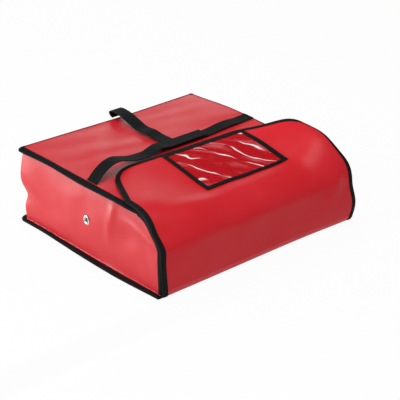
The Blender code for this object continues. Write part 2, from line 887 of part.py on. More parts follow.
def make_walls(finishes):
    """The wall strip, its pads and its lining, with the eyelets through both sides."""
    skin = wall_strip(
        "side_and_back_panel",
        foot_flange_z,
        head_flange_z,
        skin_depth,
        skin_thickness,
        finishes["vinyl"],
        flanges=True,
    )
    liner = wall_strip(
        "side_and_back_liner", inner_low_z, inner_high_z, wall_liner_depth, liner_thickness, finishes["liner"]
    )
    left_pad = side_padding("left_insulation", LEFT, finishes["padding"])
    right_pad = side_padding("right_insulation", RIGHT, finishes["padding"])
    back_padding(finishes["padding"])
    wall_edge_tape("left_wall_binding", LEFT, finishes["tape"])
    wall_edge_tape("right_wall_binding", RIGHT, finishes["tape"])
    make_eyelet("left_eyelet", LEFT, [skin, left_pad, liner], finishes["eyelet"])
    make_eyelet("right_eyelet", RIGHT, [skin, right_pad, liner], finishes["eyelet"])


def make_base_and_top(finishes):
    """The bottom and top panels with their pads, linings and seam tapes."""
    base_skin(finishes["vinyl"])
    top_skin(finishes["vinyl"])
    pad_z = skin_thickness + layer_gap + wall_padding_thickness / 2
    lining_z = wall_thickness - liner_thickness / 2
    base_start = fold_centre_y + layer_gap
    level_pad("bottom_insulation", pad_z, wall_padding_thickness, base_start, finishes["padding"])
    level_pad("bottom_liner", lining_z, liner_thickness, base_start, finishes["liner"])
    top_layer("top_insulation", pad_z, wall_padding_thickness, finishes["padding"])
    top_layer("top_liner", lining_z, liner_thickness, finishes["liner"])
    base_tape_start = base_seam_start_y + layer_gap
    fin_tape(
        "bottom_binding", base_tape_low_z, base_tape_high_z, False, base_tape_start, finishes["tape"]
    )
    fin_tape("top_binding", top_tape_low_z, top_tape_high_z, True, top_seam_start_y, finishes["tape"])
    top_front_tape(finishes["tape"])


def main():
    """Builds the bag."""
    clear_scene()
    finishes = make_finishes()
    make_base_and_top(finishes)
    make_walls(finishes)
    make_flap(finishes)
    make_closure(finishes)
    make_window(finishes)
    make_handle(finishes)


main()
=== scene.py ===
"""The looks of an insulated red vinyl pizza bag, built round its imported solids.

Metres, +Z up. Each cloth is a fine grid in the flat bag's own measures. The grid is carried to its
place by the same rules for every layer, then eased out of true by one soft shape for the bag's body
and one for its flap, so that skins, padding, lining and tapes stay together.
"""

import logging  # noqa: E402
import math  # noqa: E402
from dataclasses import dataclass  # noqa: E402
from enum import Enum  # noqa: E402
from typing import Callable, Sequence  # noqa: E402

import bmesh  # noqa: E402
import bpy  # noqa: E402
import numpy as np  # noqa: E402
from mathutils import Matrix, Vector  # noqa: E402


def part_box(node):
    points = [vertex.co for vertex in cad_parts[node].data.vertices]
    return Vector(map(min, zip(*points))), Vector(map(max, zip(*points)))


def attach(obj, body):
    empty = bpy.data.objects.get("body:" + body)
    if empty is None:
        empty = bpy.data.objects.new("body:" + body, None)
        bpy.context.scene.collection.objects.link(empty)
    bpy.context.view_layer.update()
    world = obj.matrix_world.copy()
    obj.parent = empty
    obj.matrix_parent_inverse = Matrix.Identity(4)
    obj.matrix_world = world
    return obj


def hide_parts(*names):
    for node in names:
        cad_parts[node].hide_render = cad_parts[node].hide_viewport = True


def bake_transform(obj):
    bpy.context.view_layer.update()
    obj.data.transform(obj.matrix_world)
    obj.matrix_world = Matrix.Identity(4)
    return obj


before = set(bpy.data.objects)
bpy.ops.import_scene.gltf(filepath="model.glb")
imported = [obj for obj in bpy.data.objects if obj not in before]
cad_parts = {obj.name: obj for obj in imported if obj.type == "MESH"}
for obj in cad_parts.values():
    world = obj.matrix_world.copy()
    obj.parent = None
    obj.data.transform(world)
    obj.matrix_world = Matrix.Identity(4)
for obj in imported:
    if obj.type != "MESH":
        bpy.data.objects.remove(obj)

log = logging.getLogger("pizza_bag")

CLOTH_MAP = "cloth"
MM = 0.001
SHARP_FROM = math.radians(50)

Triple = tuple[float, float, float]
Bounds = tuple[float, float, float, float]
Move = Callable[[np.ndarray], np.ndarray]
WHITE: Triple = (1.0, 1.0, 1.0)
TO_LEFT = Vector((-1.0, 0.0, 0.0))
TO_BACK = Vector((0.0, 1.0, 0.0))
MIRRORED = np.array([-1.0, 1.0])


class Slot(Enum):
    """The finishes that pieces are dressed in."""

    VINYL = "vinyl"
    FLAP = "flap"
    TAPE = "tape"
    WEBBING = "webbing"
    PADDING = "padding"
    LINER = "liner"
    FILM = "film"
    HOOK = "hook"
    EYELET = "eyelet"


class Body(Enum):
    """The bodies that pieces ride on."""

    SHELL = "shell"
    FRONT = "flap_front"
    LIP = "flap_lip"
    GRIP = "handle_grip"


class Side(Enum):
    """The bag's two sides, as the sign of X."""

    LEFT = -1
    RIGHT = 1


class Value:
    """A number, colour, vector or shader on its way between two nodes."""

    def __init__(self, nodes: "Nodes", socket: bpy.types.NodeSocket) -> None:
        """Wraps an output socket of a node tree."""
        self.nodes = nodes
        self.socket = socket

    def _maths(self, operation: str, first: "Value | float", second: "Value | float") -> "Value":
        """Adds one Math node and returns its result."""
        return self.nodes.node("ShaderNodeMath", {"operation": operation}, {0: first, 1: second})

    def __add__(self, other: "Value | float") -> "Value":
        """self + other."""
        return self._maths("ADD", self, other)

    __radd__ = __add__

    def __rsub__(self, other: float) -> "Value":
        """other - self."""
        return self._maths("SUBTRACT", other, self)

    def __mul__(self, other: "Value | float") -> "Value":
        """self * other."""
        return self._maths("MULTIPLY", self, other)

    __rmul__ = __mul__

    def sine(self) -> "Value":
        """The sine of this value, in radians."""
        return self._maths("SINE", self, 0.0)

    def most(self, other: "Value") -> "Value":
        """The larger of this and another value."""
        return self._maths("MAXIMUM", self, other)

    def beside(self, output: int | str) -> "Value":
        """Another output of the same node."""
        return Value(self.nodes, self.socket.node.outputs[output])

    def ramp(self, low: float, high: float) -> "Value":
        """A smooth step from 0 at low to 1 at high."""
        settings = {"interpolation_type": "SMOOTHSTEP"}
        return self.nodes.node("ShaderNodeMapRange", settings, {0: self, 1: low, 2: high})


class Nodes:
    """The nodes of a material or of the world."""

    def __init__(self, tree: bpy.types.NodeTree) -> None:
        """Keeps the tree that nodes are added to."""
        self.tree = tree

    def node(
        self,
        kind: str,
        settings: dict[str, object] | None = None,
        inputs: dict[int | str, object] | None = None,
        output: int | str = 0,
    ) -> Value:
        """Adds a node.

        Args:
            kind: the node's type.
            settings: attributes to set first.
            inputs: values or links of its sockets, by index or name.
            output: the socket to return.

        Returns:
            The value of that output.
        """
        made = self.tree.nodes.new(kind)
        for name, value in (settings or {}).items():
            setattr(made, name, value)
        for key, value in (inputs or {}).items():
            self.feed(made.inputs[key], value)
        return Value(self, made.outputs[output])

    def feed(self, socket: bpy.types.NodeSocket, value: object) -> None:
        """Links or sets one input socket.

        Args:
            socket: the input.
            value: a Value to link, or a plain number, colour or vector to set.
        """
        if isinstance(value, Value):
            self.tree.links.new(value.socket, socket)
        elif isinstance(value, tuple) and len(value) == 3 and socket.type == "RGBA":
            socket.default_value = (*value, 1.0)
        else:
            socket.default_value = value

    def end(self, shader: Value) -> None:
        """Links a shader to the tree's own output node."""
        output = next(node for node in self.tree.nodes if "Output" in node.bl_idname)
        self.feed(output.inputs["Surface"], shader)


class Surface(Nodes):
    """One material with a Principled shader, mapped by the flat cloth."""

    def __init__(self, name: str) -> None:
        """Makes the material.

        Args:
            name: the material's name.
        """
        self.material = bpy.data.materials.new(name)
        self.material.use_nodes = True
        super().__init__(self.material.node_tree)
        self.shader = self.tree.nodes["Principled BSDF"]

    def set(self, **inputs: object) -> None:
        """Sets the shader's sockets, with _ for a space in each name."""
        for name, value in inputs.items():
            self.feed(self.shader.inputs[name.replace("_", " ")], value)

    def flat(self) -> Value:
        """The place on the flat cloth, in metres."""
        return self.node("ShaderNodeUVMap", {"uv_map": CLOTH_MAP})

    def flat_parts(self) -> tuple[Value, Value]:
        """The way across and the way along the flat cloth."""
        parts = self.node("ShaderNodeSeparateXYZ", inputs={0: self.flat()})
        return parts, parts.beside(1)

    def noise(self, where: Value, size: float, detail: float, distortion: float = 0.0) -> Value:
        """Soft random patches.

        Args:
            where: the place that is looked up.
            size: the patches' width in metres.
            detail: how many finer layers are added.
            distortion: how far the patches are pulled about.

        Returns:
            A value around 0.5.
        """
        inputs = {"Vector": where, "Scale": 1 / size, "Detail": detail, "Distortion": distortion}
        return self.node("ShaderNodeTexNoise", inputs=inputs)

    def wave(self, along: Value, pitch: float) -> Value:
        """Even waves from 0 to 1, one for each pitch."""
        return (along * (math.tau / pitch)).sine() * 0.5 + 0.5

    def mix(self, share: Value | float, first: object, second: object) -> Value:
        """A colour between two colours."""
        settings = {"data_type": "RGBA", "clamp_factor": True}
        return self.node("ShaderNodeMix", settings, {0: share, 6: first, 7: second}, output=2)

    def bump(self, height: Value) -> Value:
        """A normal from a height in millimetres."""
        inputs = {"Height": height, "Distance": MM, "Strength": 1.0}
        return self.node("ShaderNodeBump", inputs=inputs)


@dataclass(frozen=True)
class RedVinyl:
    """Vinyl-coated cloth: smooth, with the cloth's weave faintly under the coat."""

    colour: Triple = (0.600, 0.0120, 0.0200)
    worn: Triple = (0.630, 0.0220, 0.0330)
    roughness: float = 0.37
    weave_pitch: float = 0.0011
    grain: float = 0.0009
    patch: float = 0.11
    scuff: float = 0.012
    ripple: float = 0.030
    shine: float = 0.52
    label: str = "red_vinyl"

    def dress(self) -> bpy.types.Material:
        """Makes the material."""
        surface = Surface(self.label)
        where = surface.flat()
        across, along = surface.flat_parts()
        patches = surface.noise(where, self.patch, 3.0)
        scuffs = surface.noise(where, self.scuff, 4.0, 0.6)
        weave = surface.wave(across, self.weave_pitch) * surface.wave(along, self.weave_pitch)
        grain = surface.noise(where, self.grain, 2.0)
        ripples = surface.noise(where, self.ripple, 1.5, 0.4)
        tint = patches.ramp(0.35, 0.70) * 0.55 + scuffs.ramp(0.55, 0.80) * 0.20
        surface.set(
            Base_Color=surface.mix(tint, self.colour, self.worn),
            Roughness=patches * 0.10 + scuffs * 0.08 + (self.roughness - 0.09),
            Specular_IOR_Level=self.shine,
            Normal=surface.bump(weave * 0.012 + grain * 0.020 + ripples * 0.35),
        )
        return surface.material


@dataclass(frozen=True)
class BindingTape:
    """Black binding tape: a fine ribbed weave with a soft edge of lint."""

    colour: Triple = (0.0050, 0.0060, 0.0062)
    dusty: Triple = (0.0110, 0.0122, 0.0126)
    rib: float = 0.0009
    pick: float = 0.0005
    lint: float = 0.008
    shine: float = 0.12

    def dress(self) -> bpy.types.Material:
        """Makes the material."""
        surface = Surface("binding_tape")
        across, along = surface.flat_parts()
        ribs = surface.wave(along, self.rib)
        picks = surface.wave(across, self.pick)
        dust = surface.noise(surface.flat(), self.lint, 4.0)
        tint = dust.ramp(0.45, 0.75) * 0.6 + ribs * 0.25
        surface.set(
            Base_Color=surface.mix(tint, self.colour, self.dusty),
            Roughness=0.72 - ribs * 0.12,
            Specular_IOR_Level=self.shine,
            Normal=surface.bump(ribs * 0.05 + picks * 0.02),
        )
        return surface.material


@dataclass(frozen=True)
class Webbing:
    """Black woven webbing: lengthwise cords crossed by close picks."""

    colour: Triple = (0.0040, 0.0052, 0.0056)
    raised: Triple = (0.0120, 0.0145, 0.0150)
    cord: float = 0.0017
    pick: float = 0.0011
    slant: float = 0.65
    lint: float = 0.006
    shine: float = 0.14

    def dress(self) -> bpy.types.Material:
        """Makes the material."""
        surface = Surface("black_webbing")
        across, along = surface.flat_parts()
        cords = surface.wave(across, self.cord)
        slanted = surface.wave(along + across * self.slant, self.pick)
        lint = surface.noise(surface.flat(), self.lint, 4.0)
        tint = cords * slanted * 0.55 + lint.ramp(0.5, 0.8) * 0.35
        surface.set(
            Base_Color=surface.mix(tint, self.colour, self.raised),
            Roughness=0.68 - cords * 0.10,
            Specular_IOR_Level=self.shine,
            Normal=surface.bump(cords * 0.13 + slanted * 0.06),
        )
        return surface.material


@dataclass(frozen=True)
class Padding:
    """White fibre wadding."""

    colour: Triple = (0.74, 0.74, 0.71)
    hollow: Triple = (0.58, 0.58, 0.55)
    fibre: float = 0.0015
    lump: float = 0.009

    def dress(self) -> bpy.types.Material:
        """Makes the material."""
        surface = Surface("white_padding")
        where = surface.flat()
        fibres = surface.noise(where, self.fibre, 4.0, 1.5)
        lumps = surface.noise(where, self.lump, 2.0)
        surface.set(
            Base_Color=surface.mix(fibres.ramp(0.35, 0.6), self.hollow, self.colour),
            Roughness=lumps * 0.1 + 0.85,
            Normal=surface.bump(fibres * 0.3 + lumps * 0.5),
        )
        return surface.material


@dataclass(frozen=True)
class Lining:
    """Grey coated nylon, slightly crinkled."""

    colour: Triple = (0.30, 0.31, 0.33)
    light: Triple = (0.42, 0.43, 0.45)
    thread: float = 0.0010
    crinkle: float = 0.018

    def dress(self) -> bpy.types.Material:
        """Makes the material."""
        surface = Surface("grey_lining")
        across, along = surface.flat_parts()
        threads = surface.wave(across, self.thread) * surface.wave(along, self.thread)
        crinkles = surface.noise(surface.flat(), self.crinkle, 3.0, 1.2)
        surface.set(
            Base_Color=surface.mix(crinkles.ramp(0.3, 0.7), self.colour, self.light),
            Roughness=0.52 - crinkles * 0.15,
            Sheen_Weight=0.1,
            Normal=surface.bump(threads * 0.02 + crinkles * 0.6),
        )
        return surface.material


@dataclass(frozen=True)
class ClearFilm:
    """Clear, soft window film with slanting creases; their bright highlights and a broad pale sheen are
    painted into its colour.
    """

    tint: Triple = (0.620, 0.0070, 0.0150)
    # Colour of the painted highlight along the creases.
    painted_highlight: Triple = (0.98, 0.86, 0.84)
    # Colour of the painted pale sheen in broad bands across the film.
    sheen_colour: Triple = (0.70, 0.17, 0.19)
    base_alpha: float = 0.55
    thin_pitch: float = 0.036
    wide_pitch: float = 0.050
    wide_shift: float = 0.011
    bend: float = 0.055

    def dress(self) -> bpy.types.Material:
        """Makes the material."""
        surface = Surface("clear_film")
        where = surface.flat()
        across, along = surface.flat_parts()
        bends = surface.noise(where, 0.085, 1.0, 0.6)
        course = across * 0.86 + along * 0.51 + bends * self.bend
        thin = surface.wave(course, self.thin_pitch).ramp(0.950, 0.995)
        wide = surface.wave(course + self.wide_shift, self.wide_pitch).ramp(0.55, 1.0)
        breaks = surface.noise(where, 0.070, 0.5).ramp(0.44, 0.56)
        # Painted sheen: broad pale bands running the same way as the creases, mixed into the film's
        # tint and made less clear.
        sheen_patches = surface.noise(where, 0.060, 1.0).ramp(0.46, 0.66)
        # Painted highlight: thin crease lines mixed towards a near-white colour and made less clear.
        highlight_mask = thin * breaks
        painted_sheen = wide * sheen_patches * 0.6
        base = surface.mix(painted_sheen, self.tint, self.sheen_colour)
        surface.set(
            Base_Color=surface.mix(highlight_mask, base, self.painted_highlight),
            Alpha=highlight_mask * 0.4 + painted_sheen * 0.3 + self.base_alpha,
            Roughness=0.14,
            IOR=1.5,
            Specular_IOR_Level=0.35,
            Normal=surface.bump(thin * 0.5 + wide * 0.6),
        )
        return surface.material


@dataclass(frozen=True)
class HookAndLoop:
    """Black hook and loop tape."""

    colour: Triple = (0.010, 0.010, 0.011)
    fuzz: Triple = (0.045, 0.045, 0.048)
    row: float = 0.0016
    fibre: float = 0.0012

    def dress(self) -> bpy.types.Material:
        """Makes the material."""
        surface = Surface("hook_and_loop")
        across, along = surface.flat_parts()
        rows = surface.wave(across, self.row) * surface.wave(along, self.row)
        fuzz = surface.noise(surface.flat(), self.fibre, 5.0, 2.0)
        surface.set(
            Base_Color=surface.mix(fuzz.ramp(0.45, 0.65), self.colour, self.fuzz),
            Roughness=0.92 - fuzz * 0.05,
            Sheen_Weight=0.4,
            Normal=surface.bump(rows * 0.30 + fuzz * 0.30),
        )
        return surface.material


@dataclass(frozen=True)
class PlatedMetal:
    """Bright plated metal with fine scratches."""

    colour: Triple = (0.82, 0.81, 0.78)
    dull: Triple = (0.62, 0.61, 0.58)
    smear: float = 0.003

    def dress(self) -> bpy.types.Material:
        """Makes the material."""
        surface = Surface("plated_metal")
        where = surface.node("ShaderNodeTexCoord", output="Object")
        smears = surface.noise(where, self.smear, 4.0, 0.5)
        surface.set(
            Base_Color=surface.mix(smears.ramp(0.4, 0.7), self.colour, self.dull),
            Metallic=1.0,
            Roughness=smears * 0.22 + 0.16,
            Normal=surface.bump(smears * 0.03),
        )
        return surface.material


def dressed_slots() -> dict[Slot, bpy.types.Material]:
    """The bag's materials, each made once."""
    finishes = {
        Slot.VINYL: RedVinyl(),
        Slot.FLAP: RedVinyl(shine=0.20, label="flap_vinyl"),
        Slot.TAPE: BindingTape(),
        Slot.WEBBING: Webbing(),
        Slot.PADDING: Padding(),
        Slot.LINER: Lining(),
        Slot.FILM: ClearFilm(),
        Slot.HOOK: HookAndLoop(),
        Slot.EYELET: PlatedMetal(),
    }
    return {slot: finish.dress() for slot, finish in finishes.items()}


def smooth(value: np.ndarray | float, low: float, high: float) -> np.ndarray:
    """A smooth step from 0 at low to 1 at high."""
    share = np.clip((np.asarray(value, float) - low) / (high - low), 0.0, 1.0)
    return share * share * (3 - 2 * share)


def smooth_curve(places: np.ndarray, values: np.ndarray, at: np.ndarray) -> np.ndarray:
    """A smooth curve through some values.

    Args:
        places: where the values are, rising.
        values: the values there.
        at: where the curve is read.

    Returns:
        The curve's values.
    """
    slope = np.gradient(values, places)
    index = np.clip(np.searchsorted(places, at, side="right") - 1, 0, len(places) - 2)
    step = places[index + 1] - places[index]
    share = (at - places[index]) / step
    square, cube = share**2, share**3
    return (
        (2 * cube - 3 * square + 1) * values[index]
        + (cube - 2 * square + share) * step * slope[index]
        + (3 * square - 2 * cube) * values[index + 1]
        + (cube - square) * step * slope[index + 1]
    )


def stacked(*parts: np.ndarray | float) -> np.ndarray:
    """Coordinates spread over one grid, with one more axis for them."""
    return np.stack(np.broadcast_arrays(*parts), -1)


def middle_of(node: str) -> Triple:
    """The middle of a solid's box."""
    low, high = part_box(node)
    return (low.x + high.x) / 2, (low.y + high.y) / 2, (low.z + high.z) / 2


@dataclass
class BagSizes:
    """The bag's measures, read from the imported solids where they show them."""

    fin_width: float = 0.010
    back_corner_radius: float = 0.010
    flap_roll_radius: float = 0.065
    fold_radius: float = 0.010
    skin: float = 0.0008
    wall_padding: float = 0.0040
    flap_padding: float = 0.0030
    liner: float = 0.0006
    tape: float = 0.0008
    gap: float = 0.0003
    tape_leg: float = 0.012
    lip_taper_length: float = 0.120
    lip_corner_inset: float = 0.060
    lip_corner_radius: float = 0.078
    flap_base_overhang: float = 0.001
    flap_top_overhang: float = 0.006
    crown_setback: float = 0.082
    layer_trim: float = 0.0016
    seam_height: float = 0.014
    side_steps: int = 64
    corner_steps: int = 8
    back_steps: int = 64

    def __post_init__(self) -> None:
        """Reads the solids and works out what follows from them."""
        top_low, top_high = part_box("top_panel")
        base_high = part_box("bottom_panel")[1]
        hook_low, hook_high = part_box("hook_strip")
        film_low, film_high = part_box("window_film")
        allowance = self.fin_width - 2 * self.gap
        self.height = top_high.z
        self.top_half = top_high.x - allowance
        self.base_half = base_high.x - allowance
        self.top_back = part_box("top_binding")[1].y - self.fin_width - self.tape_stand
        self.back_lean = top_high.y - base_high.y
        self.front_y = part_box("flap_panel")[0].y
        self.lip_free_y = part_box("lip_panel")[1].y
        self.flap_top_z = hook_high.z + self.gap + self.flap_thickness
        self.sag_left, self.sag_right = film_low.x, film_high.x
        self.sag_half = -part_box("top_insulation")[0].x
        self.sag_front = film_low.y
        self.sag_back = hook_low.y - self.gap
        self.crown_y = self.lip_free_y - self.crown_setback
        self.top_seam_start = top_low.y
        self.roll_y = self.front_y + self.flap_roll_radius
        self.roll_z = self.flap_top_z - self.flap_roll_radius
        self.fold_y = self.front_y + self.fold_radius
        self.wall_edge_radius = self.height - self.roll_z
        self.flap_base_half = self.base_half + self.flap_base_overhang
        self.flap_top_half = self.top_half + self.flap_top_overhang
        self.fold_run = self.fold_radius * math.pi / 4
        self.upright_run = self.roll_z - self.fold_radius
        self.lip_start_run = self.fold_run + self.upright_run + self.flap_roll_radius * math.pi / 2
        self.free_run = self.lip_start_run + self.lip_free_y - self.roll_y
        self.seam_run = self.fold_run + self.seam_height - self.fold_radius
        self.set_lip_corner()

    @property
    def tape_stand(self) -> float:
        """How far a tape's outer face stands off the cloth."""
        return self.gap + self.tape

    @property
    def tape_middle(self) -> float:
        """How far a tape's middle stands off the cloth."""
        return self.gap + self.tape / 2

    @property
    def wall_thickness(self) -> float:
        """All layers of a wall."""
        return self.skin + self.wall_padding + self.liner + 2 * self.gap

    @property
    def flap_thickness(self) -> float:
        """All layers of the flap."""
        return self.skin + self.flap_padding + self.liner + 2 * self.gap

    def set_lip_corner(self) -> None:
        """Works out the rounded corner of the lip."""
        shoulder = Vector((self.flap_top_half, self.free_run - self.lip_taper_length))
        corner = Vector((self.flap_top_half - self.lip_corner_inset, self.free_run))
        turn = (corner - shoulder).normalized().angle(TO_LEFT.to_2d())
        self.corner_turn = turn
        self.shoulder_run = shoulder.y
        self.corner_x = corner.x - self.lip_corner_radius * math.tan(turn / 2)
        self.corner_run = self.free_run - self.lip_corner_radius
        self.arc_start_run = self.corner_run + self.lip_corner_radius * math.cos(turn)
        self.arc_start_half = self.corner_x + self.lip_corner_radius * math.sin(turn)

    def half_width(self, z: np.ndarray | float) -> np.ndarray:
        """Half the width over the side walls at a height."""
        return self.base_half + (self.top_half - self.base_half) * np.asarray(z) / self.height

    def back_y(self, z: np.ndarray | float) -> np.ndarray:
        """The back wall's outer face at a height."""
        return self.top_back - self.back_lean * (1 - np.asarray(z) / self.height)

    def wall_front_y(self, z: np.ndarray | float) -> np.ndarray:
        """The front edge of a side wall at a height."""
        rise = np.clip(np.asarray(z) - self.roll_z, 0.0, self.wall_edge_radius)
        return self.roll_y - np.sqrt(self.wall_edge_radius**2 - rise**2)

    def flap_half(self, run: np.ndarray) -> np.ndarray:
        """Half the flap's width, at a way up its outer face."""
        share = np.clip(run / self.lip_start_run, 0.0, 1.0)
        wide = self.flap_base_half + (self.flap_top_half - self.flap_base_half) * share
        narrowed = self.arc_start_half - self.flap_top_half
        slope = narrowed / (self.arc_start_run - self.shoulder_run)
        taper = self.flap_top_half + slope * (run - self.shoulder_run)
        up = np.clip(run - self.corner_run, 0.0, self.lip_corner_radius)
        round_part = self.corner_x + np.sqrt(self.lip_corner_radius**2 - up**2)
        wide = np.where(run > self.shoulder_run, taper, wide)
        return np.where(run > self.arc_start_run, round_part, wide)

    def flap_point(self, x: np.ndarray, run: np.ndarray, depth: np.ndarray | float) -> np.ndarray:
        """Places on the flat-sided flap.

        Args:
            x: how far to the right.
            run: the way up the outer face from the middle of the bottom fold.
            depth: how far in from the outer face.

        Returns:
            The points, with one more axis for X, Y and Z.
        """
        x, run, depth = np.broadcast_arrays(x, run, depth)
        fold = (self.fold_run - run) / self.fold_radius
        fold_reach = self.fold_radius - depth
        roll = (run - self.fold_run - self.upright_run) / self.flap_roll_radius
        roll_reach = self.flap_roll_radius - depth
        after = run - self.lip_start_run
        stretches = [run < self.fold_run, roll < 0, after < 0]
        forward = [
            self.fold_y - fold_reach * np.cos(fold),
            self.front_y + depth,
            self.roll_y - roll_reach * np.cos(roll),
        ]
        upward = [
            self.fold_radius - fold_reach * np.sin(fold),
            self.fold_radius + run - self.fold_run,
            self.roll_z + roll_reach * np.sin(roll),
        ]
        y = np.select(stretches, forward, self.roll_y + after)
        z = np.select(stretches, upward, self.flap_top_z - depth)
        return np.stack([x, y, z], -1)

    def wall_path(self, z: float, out: float, start_y: float) -> np.ndarray:
        """Points round the left, back and right walls, from front to front.

        Args:
            z: their height.
            out: how far outside the walls' outer faces.
            start_y: where both ends stand.

        Returns:
            Points, each with X, Y and Z.
        """
        reach = float(self.half_width(z)) + out
        back = float(self.back_y(z)) + out
        radius = self.back_corner_radius + out
        turn = np.linspace(0.0, math.pi / 2, self.corner_steps + 1)
        left = stacked(-reach, np.linspace(start_y, back - radius, self.side_steps + 1)[:-1])
        arc_x = -(reach - radius) - radius * np.cos(turn)
        arc = stacked(arc_x, back - radius + radius * np.sin(turn))
        across = np.linspace(arc[-1, 0], -arc[-1, 0], self.back_steps + 1)[1:-1]
        half = np.concatenate([left, arc])
        plan = np.concatenate([half, stacked(across, back), half[::-1] * MIRRORED])
        return stacked(plan[:, 0], plan[:, 1], z)


class Push:
    """One way in which the cloth leaves its flat-sided shape."""

    def at(self, points: np.ndarray) -> np.ndarray:
        """How far each point moves.

        Args:
            points: places on the flat-sided bag or flap, with a last axis for X, Y and Z.

        Returns:
            A move for each point.
        """
        raise NotImplementedError


@dataclass(frozen=True)
class Swell(Push):
    """A soft push round one place, with its reach to the low and the high side of each axis."""

    centre: Triple
    push: Triple
    low_reach: Triple
    high_reach: Triple

    def at(self, points: np.ndarray) -> np.ndarray:
        """How far each point moves."""
        away = points - self.centre
        reach = np.where(away < 0, self.low_reach, self.high_reach)
        weight = np.exp(-((away / reach) ** 2).sum(-1))
        return weight[..., None] * self.push


@dataclass(frozen=True)
class Crease(Push):
    """A soft ridge or valley along a line."""

    start: Triple
    end: Triple
    push: Triple
    width: float

    def at(self, points: np.ndarray) -> np.ndarray:
        """How far each point moves."""
        start = np.array(self.start)
        way = np.array(self.end) - start
        share = ((points - start) @ way) / (way @ way)
        near = start + np.clip(share, 0.0, 1.0)[..., None] * way
        away = np.linalg.norm(points - near, axis=-1)
        fade = np.sin(np.pi * np.clip(share, 0.02, 0.98)) ** 0.5
        weight = np.exp(-((away / self.width) ** 2)) * fade
        return weight[..., None] * self.push


@dataclass
class MouthSag(Push):
    """The dip of the mouth: the top's front edge, and the flap behind its roll."""

    sizes: BagSizes
    depth: float = 0.020
    back_margin: float = 0.012
    starts_below: float = 0.085
    full_above: float = 0.002
    straight_share: float = 0.75

    def at(self, points: np.ndarray) -> np.ndarray:
        """How far each point moves."""
        sizes = self.sizes
        x, y, z = np.moveaxis(points, -1, 0)
        across = smooth(x, -sizes.sag_half, sizes.sag_left)
        across = across * (1 - smooth(x, sizes.sag_right, sizes.sag_half))
        back = sizes.lip_free_y - self.back_margin
        straight = np.clip((back - y) / (back - sizes.sag_front), 0.0, 1.0)
        rounded = smooth(straight, 0.0, 1.0)
        along = self.straight_share * straight + (1 - self.straight_share) * rounded
        high = smooth(z, sizes.height - self.starts_below, sizes.height + self.full_above)
        return stacked(0.0, 0.0, -self.depth * (across * along * high))


@dataclass
class LipSkew(Push):
    """The lip's slight turn: its left end lies further back than its right end."""

    sizes: BagSizes
    slope: float = 0.045
    shear: float = 0.055
    pivot_x: float = 0.030
    reach: float = 0.150
    starts_before: float = 0.02
    full_after: float = 0.05

    def at(self, points: np.ndarray) -> np.ndarray:
        """How far each point moves."""
        sizes = self.sizes
        x, y, _ = np.moveaxis(points, -1, 0)
        away = np.clip(x - self.pivot_x, -self.reach, self.reach)
        side = 1 - smooth(np.abs(x), self.reach, sizes.flap_top_half)
        share = smooth(y, sizes.roll_y - self.starts_before, sizes.roll_y + self.full_after) * side
        return stacked(self.shear * (y - sizes.crown_y) * share, -self.slope * away * share, 0.0)


@dataclass(frozen=True)
class Rumples:
    """Small uneven waves of slack cloth."""

    waves: tuple[Triple, ...]
    starts: tuple[float, ...]

    def at(self, points: np.ndarray) -> np.ndarray:
        """The height of the waves at each point, from about -1 to 1."""
        total = np.zeros(points.shape[:-1])
        for wave, start in zip(self.waves, self.starts):
            phase = points @ np.array(wave)
            total += np.sin(phase + start + 0.9 * np.sin(phase * 0.53 + 2.1 * start))
        return total / len(self.waves)


BODY_RUMPLES = Rumples(
    ((19.0, 61.0, 22.0), (34.0, -38.0, 47.0), (-52.0, 27.0, 71.0), (12.0, 93.0, -36.0)),
    (0.3, 1.9, 4.1, 2.6),
)
FLAP_RUMPLES = Rumples(
    ((41.0, 18.0, 12.0), (-27.0, 22.0, 33.0), (63.0, -30.0, 24.0)),
    (1.1, 3.4, 0.2),
)


@dataclass
class FlapSlack(Push):
    """The slack of the flap's cloth between its tapes."""

    sizes: BagSizes
    depth: float = 0.0014
    held_below: float = 0.012
    free_above: float = 0.05

    def at(self, points: np.ndarray) -> np.ndarray:
        """How far each point moves."""
        sizes = self.sizes
        x, y, z = np.moveaxis(points, -1, 0)
        high = smooth(z, sizes.roll_z - 0.01, sizes.flap_top_z)
        side = np.clip(1 - (x / sizes.flap_base_half) ** 2, 0.0, 1.0) ** 0.7
        low = smooth(z, self.held_below, self.free_above)
        back = 1 - smooth(y, sizes.sag_front, sizes.sag_back)
        share = FLAP_RUMPLES.at(points) * side * low * back * self.depth
        return stacked(0.0, -share * (1 - high), share * high)


@dataclass
class BodySlack(Push):
    """The body as it stands empty: a sagging top and uneven walls."""

    sizes: BagSizes
    top_sag: float = 0.0030
    rumple: float = 0.0019
    side_hollow: float = -0.0065
    back_hollow: float = 0.0050
    top_zone: tuple[float, float] = (0.80, 0.97)
    side_zone: tuple[float, float] = (0.90, 0.97)
    back_zone: tuple[float, float] = (0.93, 0.98)

    def at(self, points: np.ndarray) -> np.ndarray:
        """How far each point moves."""
        sizes = self.sizes
        x, y, z = np.moveaxis(points, -1, 0)
        level = np.clip(z / sizes.height, 0.0, 1.0)
        across = x / sizes.half_width(z)
        depth = (y - sizes.front_y) / (sizes.back_y(z) - sizes.front_y)
        back_share = np.clip(1 - across**2, 0.0, 1.0)
        inside = back_share * np.clip(1 - (2 * depth - 1) ** 2, 0, 1)
        waves = BODY_RUMPLES.at(points) * self.rumple
        sag = (waves * inside**0.5 - self.top_sag * inside) * smooth(level, *self.top_zone)
        rounded = np.sin(np.pi * level)
        side_near = smooth(np.abs(across), *self.side_zone)
        back_near = smooth(depth, *self.back_zone)
        side_share = np.sin(np.pi * np.clip(depth, 0.0, 1.0))
        slack = np.clip(rounded * side_share, 0.0, 1.0) ** 0.5
        bulge = waves * slack - self.side_hollow * rounded * side_share
        in_y = (waves * slack - self.back_hollow * rounded * back_share) * back_near
        return stacked(np.sign(x) * bulge * side_near, in_y, sag)


